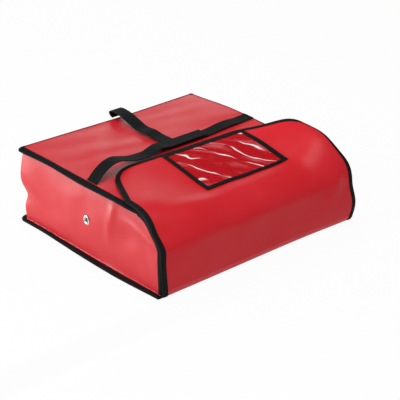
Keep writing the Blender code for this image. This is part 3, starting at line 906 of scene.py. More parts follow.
@dataclass
class SoftShape:
    """How the cloth leaves its flat-sided shape: a list of pushes, held at the seams."""

    pushes: Sequence[Push]

    def moved(self, points: np.ndarray) -> np.ndarray:
        """The points after every push."""
        return points + sum((push.at(points) for push in self.pushes), np.zeros_like(points))


def front_corner_pushes(sizes: BagSizes) -> list[Push]:
    """The pushes that walls and flap share where they meet: two right, three left."""
    base, top, front = sizes.base_half, sizes.top_half, sizes.front_y
    shoulder = (-top, sizes.roll_y - 0.018, 0.150)
    return [
        Swell((base, front, 0.042), (0.019, -0.010, 0.0), (0.09, 0.07, 0.052), (0.06, 0.07, 0.050)),
        Swell((base, front, 0.130), (0.015, -0.004, 0.0), (0.07, 0.09, 0.044), (0.06, 0.12, 0.030)),
        Swell(
            (-top, front + 0.016, 0.132),
            (-0.006, 0.013, -0.010),
            (0.05, 0.04, 0.042),
            (0.07, 0.045, 0.034),
        ),
        Swell((-base, front, 0.070), (-0.005, 0.004, 0.0), (0.05, 0.05, 0.048), (0.05, 0.05, 0.030)),
        Swell(shoulder, (-0.002, 0.002, -0.0085), (0.05, 0.040, 0.036), (0.08, 0.034, 0.030)),
    ]


def body_shape(sizes: BagSizes) -> SoftShape:
    """The soft shape of the bag's body."""
    half, back, near = sizes.top_half, sizes.top_back, sizes.top_back - 0.010
    bottom_fin = (-sizes.base_half - 0.010, -0.080, 0.002)
    back_corner = [
        Swell((-half, near, 0.088), (-0.009, 0.008, 0.0), (0.05, 0.06, 0.064), (0.05, 0.05, 0.052)),
        Swell((-half, near, 0.056), (0.0085, -0.0085, 0.0), (0.04, 0.04, 0.018), (0.04, 0.04, 0.020)),
        Swell((-half, back, 0.150), (0.0, 0.0, 0.0050), (0.20, 0.20, 0.05), (0.18, 0.10, 0.05)),
    ]
    left_wall = [
        Swell(bottom_fin, (-0.0085, 0.0, 0.0), (0.010, 0.120, 0.010), (0.010, 0.150, 0.012)),
        Crease((-half, -0.066, 0.030), (-half, -0.074, 0.134), (-0.0052, 0.0, 0.0), 0.010),
        Swell((-half, -0.124, 0.086), (0.0042, 0.0, 0.0), (0.03, 0.034, 0.026), (0.03, 0.026, 0.020)),
        Crease((-half, -0.105, 0.112), (-half, -0.226, 0.101), (-0.0030, 0.0, 0.0), 0.008),
        Crease((-half, -0.150, 0.094), (-half, -0.214, 0.030), (0.0014, 0.0, 0.0), 0.013),
        Crease((-half, 0.180, 0.118), (-half, 0.090, 0.040), (0.0022, 0.0, 0.0), 0.013),
    ]
    top = [
        Crease((-0.190, 0.020, 0.150), (-0.060, 0.190, 0.150), (0.0, 0.0, 0.0030), 0.022),
        Swell((half, 0.100, 0.150), (0.003, 0.0, 0.0045), (0.08, 0.12, 0.04), (0.05, 0.09, 0.05)),
    ]
    shared = [*front_corner_pushes(sizes), MouthSag(sizes)]
    return SoftShape([*shared, *back_corner, *left_wall, *top, BodySlack(sizes)])


def flap_shape(sizes: BagSizes) -> SoftShape:
    """The soft shape of the flap."""
    y = sizes.crown_y
    crown = [
        Swell(
            (0.223, y - 0.008, 0.158), (0.010, 0.0, 0.030), (0.052, 0.082, 0.03), (0.034, 0.068, 0.03)
        ),
        Swell(
            (0.228, y - 0.088, 0.150), (0.005, 0.0, 0.012), (0.050, 0.040, 0.04), (0.034, 0.045, 0.04)
        ),
        Swell(
            (0.256, y - 0.026, 0.156), (-0.005, 0.0, -0.03), (0.0135, 0.12, 0.04), (0.020, 0.100, 0.03)
        ),
    ]
    front = [
        Crease((0.206, -0.230, 0.134), (0.197, -0.241, 0.070), (0.004, -0.0050, 0.002), 0.011),
        Crease((0.182, -0.228, 0.132), (0.176, -0.241, 0.080), (-0.002, 0.0024, -0.001), 0.012),
    ]
    shared = [*front_corner_pushes(sizes), MouthSag(sizes), LipSkew(sizes)]
    return SoftShape([*shared, *crown, *front, FlapSlack(sizes)])


def linked(name: str, data: bpy.types.ID) -> bpy.types.Object:
    """A new object in the scene."""
    made = bpy.data.objects.new(name, data)
    bpy.context.scene.collection.objects.link(made)
    return made


def smooth_mesh(name: str, points: np.ndarray, faces: np.ndarray) -> bpy.types.Mesh:
    """A smooth mesh with its sharp edges marked."""
    mesh = bpy.data.meshes.new(name)
    mesh.from_pydata(points.reshape(-1, 3).tolist(), [], faces.tolist())
    mesh.shade_smooth()
    mesh.set_sharp_from_angle(angle=SHARP_FROM)
    return mesh


def ride(piece: bpy.types.Object, body: Body, *nodes: str) -> bpy.types.Object:
    """Puts a piece on a body, in place of some solids."""
    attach(piece, body.value)
    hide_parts(*nodes)
    log.info("%s rides on %s", piece.name, body.value)
    return piece


def lengths(points: np.ndarray, axis: int) -> np.ndarray:
    """How far along its rows or columns each point of a grid is."""
    step = np.linalg.norm(np.diff(points, axis=axis), axis=-1)
    first = np.zeros_like(np.take(step, [0], axis=axis))
    return np.concatenate([first, np.cumsum(step, axis=axis)], axis=axis)


def measured(points: np.ndarray) -> np.ndarray:
    """Flat measures of a strip: across its columns and along its rows."""
    return stacked(lengths(points, 1), lengths(points, 0))


def fold_section(leg: float, half: float) -> tuple[np.ndarray, np.ndarray, np.ndarray]:
    """The section of tape folded over an edge.

    Args:
        leg: how far the tape reaches in from the edge on each face.
        half: from the middle of the cloth to the middle of the tape.

    Returns:
        The inset from the edge, the offset from the middle of the cloth and the width so far.
    """
    turn = np.linspace(-math.pi / 2, math.pi / 2, 9)
    legs = np.linspace(leg, half, 4)[:-1]
    level = np.full_like(legs, half)
    inset = np.concatenate([legs, half - half * np.cos(turn), legs[::-1]])
    offset = np.concatenate([-level, half * np.sin(turn), level])
    step = np.hypot(np.diff(inset), np.diff(offset))
    return inset, offset, np.concatenate([[0.0], np.cumsum(step)])


@dataclass
class Cloth:
    """Makes solid cloth from grids of points."""

    finishes: dict[Slot, bpy.types.Material]

    def solid(
        self, name: str, points: np.ndarray, flat: np.ndarray, thickness: float, slot: Slot
    ) -> bpy.types.Object:
        """A closed sheet with its middle on a grid of points.

        Args:
            name: the piece's name.
            points: rows by columns by X, Y and Z.
            flat: rows by columns by the two measures on the flat cloth.
            thickness: the sheet's thickness.
            slot: the finish.

        Returns:
            The new object.
        """
        normal = np.cross(np.gradient(points, axis=1), np.gradient(points, axis=0))
        normal /= np.maximum(np.linalg.norm(normal, axis=-1, keepdims=True), 1e-12)
        stand = normal * thickness / 2
        rows, columns = points.shape[:2]
        count = rows * columns
        index = np.arange(count).reshape(rows, columns)
        ahead, behind = index[1:], index[:-1]
        quads = np.stack([behind[:, :-1], behind[:, 1:], ahead[:, 1:], ahead[:, :-1]], -1)
        quads = quads.reshape(-1, 4)
        rim = np.concatenate([index[0], index[1:, -1], index[-1, -2::-1], index[-2:0:-1, 0]])
        turned = np.roll(rim, -1)
        sides = np.stack([turned, rim, rim + count, turned + count], -1)
        faces = np.concatenate([quads, quads[:, ::-1] + count, sides])
        mesh = smooth_mesh(name, np.stack([points + stand, points - stand]), faces)
        corners = np.zeros(len(mesh.loops), np.int32)
        mesh.loops.foreach_get("vertex_index", corners)
        places = flat.reshape(-1, 2)[corners % count].astype(np.float32)
        mesh.uv_layers.new(name=CLOTH_MAP).uv.foreach_set("vector", places.ravel())
        return self.placed(name, mesh, slot)

    def placed(self, name: str, mesh: bpy.types.Mesh, slot: Slot) -> bpy.types.Object:
        """Links a mesh as a piece with its finish."""
        mesh.validate()
        piece = linked(name, mesh)
        mesh.materials.append(self.finishes[slot])
        return piece

    def tape_round(
        self,
        name: str,
        edge: np.ndarray,
        width: np.ndarray,
        thickness: float,
        move: Move,
        guide: int | None = None,
    ) -> bpy.types.Object:
        """Tape whose folded section follows an edge.

        Args:
            name: the piece's name.
            edge: the section's points at each station: stations by section by X, Y and Z.
            width: the width along the section at each of its points.
            thickness: the tape's thickness.
            move: carries the points to their soft places.
            guide: the section's point that the tape's length is measured at, or its middle.

        Returns:
            The new object.
        """
        guide = edge.shape[1] // 2 if guide is None else guide
        flat = stacked(width, lengths(edge[:, guide : guide + 1], 0))
        return self.solid(name, move(edge), flat, thickness, Slot.TAPE)


@dataclass
class BagBody:
    """The body: bottom, walls and top, each with padding and lining, and their tapes."""

    sizes: BagSizes
    cloth: Cloth
    shape: SoftShape
    grid: float = 0.008
    seam_bend: float = 0.0022
    bend_turns: tuple[float, ...] = (0.6, 1.1)
    fin_rows: tuple[float, ...] = (0.006, 0.003)
    fin_overlap: float = 0.003
    fin_droop: float = 0.0030
    fin_front_droop: float = 0.002
    fin_down: float = 0.85
    fin_in_back: float = 0.50
    fin_in_side: float = 0.45
    fin_in_front: float = 1.05
    fin_front_length: float = 0.055
    low_fin_lift: float = 0.0012
    low_tape_z: float = 0.00235
    low_tape_off_table: float = 0.00005
    corner_reach: float = 0.004
    edge_leg: float = 0.009
    edge_tape_low: float = 0.0052
    edge_tape_stop: float = 0.0010
    edge_tape_sink: float = 0.0018
    tape_onward: float = 0.024
    tray_edge: tuple[float, float] = (0.0036, 0.0075)
    fold_narrowing: float = 0.9
    fold_edge_inside: float = 0.006
    fold_edge_outside: float = 0.002
    fold_reach: float = 0.012
    fold_bend_share: float = 0.85
    bottom_fill: float = 0.6
    high_zone: tuple[float, float] = (0.90, 0.95)
    low_zone: tuple[float, float] = (0.004, 0.03)

    def build(self) -> None:
        """Builds every piece of the body."""
        self.build_wall_skin()
        self.build_wall_layers()
        self.build_top()
        self.build_bottom()
        self.build_seam_tapes()
        self.build_edge_tapes()

    def layer(
        self,
        name: str,
        points: np.ndarray,
        slot: Slot,
        flat: np.ndarray | None = None,
        held: str = "stretched",
        fill: float = 0.5,
    ) -> bpy.types.Object:
        """Makes one layer of the body.

        Args:
            name: the piece's name.
            points: its grid on the flat-sided bag.
            slot: its finish, which also tells its thickness.
            flat: its measures on the flat cloth, or those of its grid.
            held: not used.
            fill: not used.

        Returns:
            The new object.
        """
        sizes = self.sizes
        along = measured(points)
        thickness = {
            Slot.VINYL: sizes.skin, Slot.PADDING: sizes.wall_padding, Slot.LINER: sizes.liner
        }[slot]
        flat = along if flat is None else flat
        piece = self.cloth.solid(name, self.drooped(points), flat, thickness, slot)
        if slot is Slot.PADDING:
            return piece
        return piece

    def heights(self, low: float, high: float, steps: int) -> np.ndarray:
        """Heights from one seam to the other, closer together up the rounded edge."""
        sizes = self.sizes
        straight = np.linspace(low, sizes.roll_z, steps // 2 + 1)[:-1]
        last = math.asin(min((high - sizes.roll_z) / sizes.wall_edge_radius, 1.0))
        turn = np.linspace(0.0, last, steps // 2 + 1)
        return np.concatenate([straight, sizes.roll_z + sizes.wall_edge_radius * np.sin(turn)])

    def wall_grid(self, heights: np.ndarray, depth: float) -> np.ndarray:
        """Points of one wall layer: rows of heights by places round the walls."""
        sizes = self.sizes
        starts = sizes.wall_front_y(heights) + sizes.layer_trim
        return np.stack([sizes.wall_path(z, -depth, y) for z, y in zip(heights, starts)])

    def build_wall_skin(self) -> None:
        """The outer skin of the three walls, turned out into the seams above and below."""
        sizes, bend = self.sizes, self.seam_bend
        low = sizes.tape_stand + sizes.gap + sizes.skin * 1.5 + sizes.gap
        high = sizes.height - sizes.skin * 1.5 - sizes.gap
        body = self.wall_grid(self.heights(low + bend, high - bend, 36), sizes.skin / 2)
        steps = [(out, 0.0) for out in (sizes.fin_width - sizes.gap, *self.fin_rows)]
        for turn in self.bend_turns:
            out = bend * (1 - math.sin(turn)) - sizes.skin / 2
            steps.append((out, bend * (1 - math.cos(turn))))
        low_y, high_y = sizes.fold_y + sizes.skin, sizes.top_seam_start
        below = [sizes.wall_path(low + rise, out, low_y) for out, rise in steps]
        above = [sizes.wall_path(high - rise, out, high_y) for out, rise in reversed(steps)]
        piece = self.layer("side_and_back_skin", np.concatenate([below, body, above]), Slot.VINYL)
        ride(piece, Body.SHELL, "side_and_back_panel")

    def drooped(self, points: np.ndarray) -> np.ndarray:
        """The points carried by the soft shape, with the upper seam's fin let down a little."""
        sizes = self.sizes
        moved = self.shape.moved(points)
        x, y, z = np.moveaxis(points, -1, 0)
        beyond_x = np.clip(np.abs(x) - sizes.half_width(z), 0.0, None)
        beyond_y = np.clip(y - sizes.back_y(z), 0.0, None)
        out = np.maximum(beyond_x, beyond_y) / sizes.fin_width
        wave = 0.6 + 0.4 * np.sin(y * 31 + x * 23)
        high = smooth(z, *(sizes.height * share for share in self.high_zone))
        seam_start = sizes.top_seam_start
        front = 1 - smooth(y, seam_start, seam_start + self.fin_front_length)
        behind = beyond_y * high
        beside = beyond_x * high * (x > 0) * (1 - front)
        moved[..., 1] -= behind * self.fin_in_back
        moved[..., 0] -= beside * self.fin_in_side
        moved[..., 2] -= np.maximum(behind, beside) * self.fin_down
        moved[..., 0] -= np.sign(x) * (beyond_x * front * high * self.fin_in_front)
        moved[..., 2] -= (self.fin_droop * wave + self.fin_front_droop * front) * out * high
        moved[..., 2] += self.low_fin_lift * out * (1 - wave) * (1 - smooth(z, *self.low_zone))
        return moved

    def build_wall_layers(self) -> None:
        """Padding and lining of the walls."""
        sizes = self.sizes
        heights = self.heights(sizes.wall_thickness, sizes.height - sizes.skin - sizes.gap * 2, 24)
        liner = self.wall_grid(heights, sizes.wall_thickness - sizes.liner / 2)
        piece = self.layer("side_and_back_lining", liner, Slot.LINER)
        ride(piece, Body.SHELL, "side_and_back_liner")
        pad = self.wall_grid(heights, sizes.skin + sizes.gap + sizes.wall_padding / 2)
        side, corner = sizes.side_steps, sizes.corner_steps
        around = pad.shape[1]
        for place, first, last in (
            ("left", 0, side + 1),
            ("back", side + corner, around - side - corner),
            ("right", around - side - 1, around),
        ):
            piece = self.layer(place + "_padding", pad[:, first:last], Slot.PADDING)
            ride(piece, Body.SHELL, place + "_insulation")

    def level_grid(
        self, z: float, front: float, out: float, plan_z: float | None = None
    ) -> np.ndarray:
        """A level grid inside the walls' outline.

        Args:
            z: the grid's height.
            front: where it starts.
            out: how far it reaches past the walls' outer faces, negative for inside.
            plan_z: the height that sets the outline, if not z.

        Returns:
            Rows from front to back by columns from left to right.
        """
        sizes = self.sizes
        plan = z if plan_z is None else plan_z
        reach = float(sizes.half_width(plan)) + out
        back = float(sizes.back_y(plan)) + out
        radius = sizes.back_corner_radius + out
        fin = max(out, 0.0)
        outer = np.linspace(0.0, fin, 5)[1:] if fin else np.zeros(0)
        inner = reach - fin
        columns = np.linspace(-inner, inner, round(2 * inner / self.grid) + 1)
        columns = np.concatenate([-inner - outer[::-1], columns, inner + outer])
        rows = np.linspace(front, back - fin, round((back - fin - front) / self.grid) + 1)
        x, y = np.meshgrid(columns, np.concatenate([rows, back - fin + outer]))
        if radius > 0:
            away_x = np.abs(x) - (reach - radius)
            away_y = y - (back - radius)
            length = np.hypot(away_x, away_y)
            over = (away_x > 0) & (away_y > 0) & (length > radius)
            shrink = np.where(over, radius / np.maximum(length, 1e-9), 1.0)
            x = np.where(over, np.sign(x) * (reach - radius + away_x * shrink), x)
            y = np.where(over, back - radius + away_y * shrink, y)
        return stacked(x, y, z)

    def build_top(self) -> None:
        """The top: skin, padding and lining."""
        sizes = self.sizes
        inside = -(sizes.wall_thickness + sizes.gap)
        under_skin = sizes.height - sizes.skin - sizes.gap
        over_room = sizes.height - sizes.wall_thickness
        flange = sizes.fin_width - 2 * sizes.gap
        for name, node, z, out, slot in (
            ("top_skin", "top_panel", sizes.height - sizes.skin / 2, flange, Slot.VINYL),
            (
                "top_padding",
                "top_insulation",
                under_skin - sizes.wall_padding / 2,
                inside,
                Slot.PADDING,
            ),
            ("top_lining", "top_liner", over_room + sizes.liner / 2, inside, Slot.LINER),
        ):
            grid = self.level_grid(z, sizes.top_seam_start, out)
            ride(self.layer(name, grid, slot, grid[..., :2]), Body.SHELL, node)

    def build_bottom(self) -> None:
        """The bottom: skin with its front fold, padding and lining."""
        sizes = self.sizes
        skin_z = sizes.skin / 2
        flange_z = sizes.tape_stand + sizes.gap + skin_z
        level = self.level_grid(skin_z, sizes.fold_y, sizes.fin_width - 2 * sizes.gap, flange_z)
        x, y = level[..., 0], level[..., 1]
        inset_x = float(sizes.half_width(flange_z)) - np.abs(x)
        inset = np.minimum(inset_x, float(sizes.back_y(flange_z)) - y)
        level[..., 2] += (flange_z - skin_z) * (1 - smooth(inset, *self.tray_edge))
        runs = np.linspace(sizes.seam_run, -sizes.fold_run, 12)[:-1]
        share = level[0, :, 0] / level[0, -1, 0]
        half = np.minimum(sizes.flap_half(runs), sizes.flap_base_half) - sizes.layer_trim
        fold = sizes.flap_point(share[None] * half[:, None], runs[:, None], skin_z)
        inner = sizes.base_half - self.fold_edge_inside
        outer = sizes.base_half + self.fold_edge_outside
        edge = smooth(np.abs(x), inner, outer)
        near_fold = 1 - smooth(y, sizes.fold_y, sizes.fold_y + self.fold_reach)
        past = np.abs(x) - half[-1] * np.abs(share)[None]
        level[..., 0] -= np.sign(x) * edge * near_fold * past * self.fold_narrowing
        piece = self.layer("bottom_skin", np.concatenate([fold, level]), Slot.VINYL)
        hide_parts("bottom_panel")
        self.blend_fold(piece)
        pad_z = sizes.skin + sizes.gap + sizes.wall_padding / 2
        for name, node, z, slot in (
            ("bottom_padding", "bottom_insulation", pad_z, Slot.PADDING),
            ("bottom_lining", "bottom_liner", sizes.wall_thickness - sizes.liner / 2, Slot.LINER),
        ):
            inside = -(sizes.wall_thickness + 2 * sizes.tape_stand)
            grid = self.level_grid(z, sizes.fold_y + sizes.gap, inside)
            piece = self.layer(name, grid, slot, grid[..., :2], "laid", self.bottom_fill)
            ride(piece, Body.SHELL, node)

    def blend_fold(self, piece: bpy.types.Object) -> None:
        """Bakes a piece's place into its mesh; it does not bend from the bottom of the bag into the
        flap's front.
        """
        sizes = self.sizes
        end = (0.0, sizes.front_y, sizes.seam_height * self.fold_bend_share)
        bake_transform(piece)
        log.info("%s bends at the bottom fold", piece.name)

    def build_seam_tapes(self) -> None:
        """The tapes folded over the fins above and below the walls."""
        sizes = self.sizes
        thick = sizes.skin * 2 + sizes.gap * 3
        half = thick / 2 + sizes.tape_middle - sizes.gap / 2
        inset, offset, width = fold_section(sizes.fin_width + self.fin_overlap, half)
        inset = np.where(offset > 0, np.minimum(inset, sizes.fin_width - sizes.tape), inset)
        outs = sizes.fin_width + sizes.tape_middle - inset
        lowest = sizes.tape_middle + self.low_tape_off_table
        fold_y = sizes.fold_y - self.corner_reach
        for name, node, middle, upward, start in (
            ("bottom_seam_tape", "bottom_binding", self.low_tape_z, 1, fold_y),
            ("top_seam_tape", "top_binding", sizes.height - thick / 2, -1, sizes.top_seam_start),
        ):
            edge = np.stack([sizes.wall_path(middle, out, start) for out in outs], 1)
            edge[..., 2] = np.maximum(middle + upward * offset, lowest)
            piece = self.cloth.tape_round(name, edge, width, sizes.tape, self.drooped, 0)
            ride(piece, Body.SHELL, node)

    def build_edge_tapes(self) -> None:
        """The tapes over the raw edges of the mouth."""
        sizes = self.sizes
        middle = sizes.wall_thickness / 2
        half = middle + sizes.tape_middle
        inset, offset, width = fold_section(self.edge_leg, half)
        crest = sizes.roll_z + sizes.wall_edge_radius
        heights = self.heights(self.edge_tape_low, crest - self.edge_tape_stop, 40)
        forward = sizes.top_seam_start + self.tape_onward - sizes.roll_y
        share = np.linspace(0.0, 1.0, 8)[:, None, None]
        onward = share * np.array([0.0, forward, -self.edge_tape_sink])
        move = self.shape.moved
        for side in Side:
            name = side.name.lower() + "_wall_"
            z = crest - inset
            level = stacked(side.value * (sizes.half_width(z) - middle + offset), sizes.roll_y, z)
            edge = self.wall_edge(side, heights, inset, offset, middle)
            edge = np.concatenate([edge, level + onward])
            piece = self.cloth.tape_round(name + "tape", edge, width, sizes.tape, move)
            ride(piece, Body.SHELL, name + "binding")
        reach = float(sizes.half_width(sizes.height)) - sizes.wall_thickness - 2 * sizes.tape_stand
        inset, offset, width = fold_section(sizes.tape_leg, half)
        y = sizes.top_seam_start - sizes.tape_middle + inset
        edge = stacked(np.linspace(-reach, reach, 60)[:, None], y, sizes.height - middle - offset)
        piece = self.cloth.tape_round("top_edge_tape", edge, width, sizes.tape, move)
        ride(piece, Body.SHELL, "top_panel_front_binding")

    def wall_edge(
        self, side: Side, heights: np.ndarray, inset: np.ndarray, offset: np.ndarray, middle: float
    ) -> np.ndarray:
        """Points of tape sections up the front edge of a side wall.

        Args:
            side: which wall.
            heights: the stations up the edge.
            inset: the section's way in from the edge.
            offset: the section's way from the middle of the wall, positive for outside.
            middle: from the outer face to the middle of the wall.

        Returns:
            Stations by section by X, Y and Z.
        """
        sizes = self.sizes
        heights = heights[:, None]
        rise = np.clip(heights - sizes.roll_z, 0.0, sizes.wall_edge_radius)
        angle = np.arcsin(rise / sizes.wall_edge_radius)
        radius = sizes.wall_edge_radius - inset
        y = sizes.roll_y - radius * np.cos(angle)
        z = np.where(heights <= sizes.roll_z, heights, sizes.roll_z + radius * np.sin(angle))
        return stacked(side.value * (sizes.half_width(z) - middle + offset), y, z)


@dataclass
class Flap:
    """The flap that rolls over the mouth, with its edge tape, ticket window and hook strip."""

    sizes: BagSizes
    cloth: Cloth
    shape: SoftShape
    fold: Callable[[bpy.types.Object], None]
    columns: int = 64
    edge_columns: tuple[float, ...] = (0.970, 0.978, 0.986, 0.993)
    padding_tuck: float = 0.0060
    liner_tuck: float = 0.0045
    leg: float = 0.0105
    fill: float = 0.4
    film: float = 0.0005
    film_hidden: float = 0.0015
    film_puff: float = 0.0022
    window_step: float = 0.0025
    hook_thickness: float = 0.0011

    def build(self) -> None:
        """Builds every piece of the flap."""
        sizes = self.sizes
        pad_depth = sizes.skin + sizes.gap + sizes.flap_padding / 2
        liner_depth = sizes.flap_thickness - sizes.liner / 2
        pad_nodes, liner_nodes = ("flap_insulation", "lip_insulation"), ("flap_liner", "lip_liner")
        skin = self.layer("flap_skin", sizes.skin / 2, sizes.skin, Slot.FLAP)
        pad = self.layer("flap_padding", pad_depth, sizes.flap_padding, Slot.PADDING, self.padding_tuck)
        liner = self.layer("flap_lining", liner_depth, sizes.liner, Slot.LINER, self.liner_tuck)
        self.blend_roll(skin, "flap_panel", "lip_panel")
        self.blend_roll(pad, *pad_nodes)
        self.blend_roll(liner, *liner_nodes)
        self.build_edge_tape()
        self.build_window()
        low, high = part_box("hook_strip")
        lift = (low.z + high.z) / 2 - sizes.flap_top_z
        points, flat = self.patch(self.node_bounds("hook_strip"), lift, 0.004)
        self.laid("hook_strip_tape", points, flat, self.hook_thickness, Slot.HOOK, "hook_strip")

    def runs(self) -> np.ndarray:
        """Ways up the flap, closer together round its free corners."""
        sizes = self.sizes
        end = sizes.free_run - sizes.layer_trim
        turn = np.linspace(sizes.corner_turn, 0.0, 14)
        arc = sizes.corner_run + sizes.lip_corner_radius * np.cos(turn)
        straight = np.linspace(sizes.seam_run, arc[0], 62)
        return np.concatenate([straight, np.minimum(arc[1:-1], end), [end]])

    def layer(
        self, name: str, depth: float, thickness: float, slot: Slot, tuck: float = 0.0
    ) -> bpy.types.Object:
        """Makes one layer of the flap.

        Args:
            name: the piece's name.
            depth: from the outer face to the layer's middle.
            thickness: the layer's thickness.
            slot: its finish.
            tuck: how far its sides stay inside the skin's.

        Returns:
            The new object.
        """
        sizes = self.sizes
        runs = self.runs()
        half = sizes.flap_half(runs) - sizes.layer_trim - tuck
        edge = np.array(self.edge_columns)
        share = np.sort(np.concatenate([np.linspace(-1.0, 1.0, self.columns + 1), edge, -edge]))
        flat = stacked(share[None] * half[:, None], runs[:, None])
        points = sizes.flap_point(flat[..., 0], runs[:, None], depth)
        piece = self.cloth.solid(name, self.shape.moved(points), flat, thickness, slot)
        if slot is Slot.PADDING:
            return piece
        area = float((np.diff(runs) * (half[1:] + half[:-1])).sum())
        return piece

    def blend_roll(self, piece: bpy.types.Object, *nodes: str) -> None:
        """Puts a piece in place of some solids and bakes its place into its mesh; it does not bend
        between the flap's front and its lip.
        """
        sizes = self.sizes
        share = math.sqrt(0.5)
        split_z = sizes.roll_z + (sizes.flap_top_z - sizes.roll_z) * share
        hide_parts(*nodes)
        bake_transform(piece)
        log.info("%s bends at the roll", piece.name)

    def edge_path(self) -> np.ndarray:
        """The flap's edge as (x, run) points: up the right side, round the lip and down again."""
        sizes = self.sizes
        turn = np.linspace(sizes.corner_turn, 0.0, 20)
        arc_x = sizes.corner_x + sizes.lip_corner_radius * np.sin(turn)
        arc_run = sizes.corner_run + sizes.lip_corner_radius * np.cos(turn)
        runs = np.linspace(sizes.seam_run, sizes.arc_start_run, 70)[:-1]
        right = np.concatenate([stacked(sizes.flap_half(runs), runs), stacked(arc_x, arc_run)])
        across = np.linspace(sizes.corner_x, -sizes.corner_x, 50)[1:-1]
        return np.concatenate([right, stacked(across, sizes.free_run), right[::-1] * MIRRORED])

    def taped(self, name: str, path: np.ndarray) -> bpy.types.Object:
        """Tape over an edge of the flap, given as (x, run) points with the flap on their left."""
        sizes = self.sizes
        way = np.gradient(path, axis=0)
        way /= np.linalg.norm(way, axis=-1, keepdims=True)
        inward = stacked(-way[:, 1], way[:, 0])
        middle = sizes.flap_thickness / 2
        inset, offset, width = fold_section(self.leg, middle + sizes.tape_middle)
        inset = inset - sizes.tape_middle
        at = path[:, None] + inward[:, None] * inset[None, :, None]
        edge = sizes.flap_point(at[..., 0], at[..., 1], middle + offset)
        return self.cloth.tape_round(name, edge, width, sizes.tape, self.shape.moved)

    def build_edge_tape(self) -> None:
        """The tape round the flap, and its two short ends at the bottom fold."""
        sizes = self.sizes
        piece = self.taped("flap_edge_tape", self.edge_path())
        self.blend_roll(piece, "flap_left_binding", "flap_right_binding", "lip_binding")
        runs = np.linspace(sizes.gap, sizes.seam_run, 10)
        end = stacked(sizes.flap_half(runs), runs)
        self.fold(self.taped("left_fold_tape", end[::-1] * MIRRORED))
        self.fold(self.taped("right_fold_tape", end))

    def patch(self, bounds: Bounds, lift: float, step: float) -> tuple[np.ndarray, np.ndarray]:
        """A grid laid on the lip.

        Args:
            bounds: left, right, front and back in X and run.
            lift: how far the grid stands off the skin.
            step: the grid's spacing.

        Returns:
            The points and their flat measures.
        """
        left, right, front, back = bounds
        x = np.linspace(left, right, max(round((right - left) / step), 2) + 1)
        run = np.linspace(front, back, max(round((back - front) / step), 2) + 1)
        x, run = np.meshgrid(x, run)
        return self.sizes.flap_point(x, run, -lift), stacked(x, run)

    def laid(
        self, name: str, points: np.ndarray, flat: np.ndarray, thickness: float, slot: Slot, node: str
    ) -> bpy.types.Object:
        """A patch on the lip in place of a solid."""
        piece = self.cloth.solid(name, self.shape.moved(points), flat, thickness, slot)
        return ride(piece, Body.LIP, node)

    def node_bounds(self, node: str) -> Bounds:
        """Left, right, front and back of a solid on the lip, in X and run."""
        low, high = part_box(node)
        to_run = self.sizes.lip_start_run - self.sizes.roll_y
        return low.x, high.x, low.y + to_run, high.y + to_run

    def window_bounds(self, node: str) -> Bounds:
        """As node_bounds, with the window's mouth drawn back to the tape on the lip's edge."""
        left, right, front, back = self.node_bounds(node)
        drawn = self.sizes.free_run - self.leg - self.node_bounds("window_mouth_hem")[3]
        moved = {"window_mouth_hem": (drawn, drawn), "window_front_binding": (0.0, 0.0)}
        front_drawn, back_drawn = moved.get(node, (0.0, drawn))
        return left, right, front + front_drawn, back + back_drawn

    def build_window(self) -> None:
        """The clear film, and the tapes on its sides."""
        sizes, hidden = self.sizes, self.film_hidden
        left, right, front, back = self.window_bounds("window_film")
        left, right, front = left + hidden, right - hidden, front + hidden
        lift = sizes.gap + self.film / 2
        points, flat = self.patch((left, right, front, back), lift, self.window_step)
        u = (flat[..., 0] - left) / (right - left)
        v = (flat[..., 1] - front) / (back - front)
        puff = self.film_puff * np.clip(np.sin(np.pi * u) * np.sin(np.pi * v), 0, 1) ** 0.5
        ripple = 0.5 + 0.5 * np.sin(46 * u + 5 * np.sin(4.3 * v + 2.0) + 9 * v)
        points[..., 2] += puff * (0.35 + 0.65 * ripple)
        film = self.laid("window_film_sheet", points, flat, self.film, Slot.FILM, "window_film")
        right - left
        back - front
        lift = 2 * sizes.gap + self.film + sizes.tape / 2
        for place, kind in (
            ("left", "binding"), ("right", "binding"), ("front", "binding"), ("mouth", "hem")
        ):
            node = f"window_{place}_{kind}"
            left, right, front, back = bounds = self.window_bounds(node)
            points, flat = self.patch(bounds, lift, self.window_step)
            if right - left > back - front:
                flat = flat[..., ::-1]
            self.laid(f"window_{place}_tape", points, flat, sizes.tape, Slot.TAPE, node)


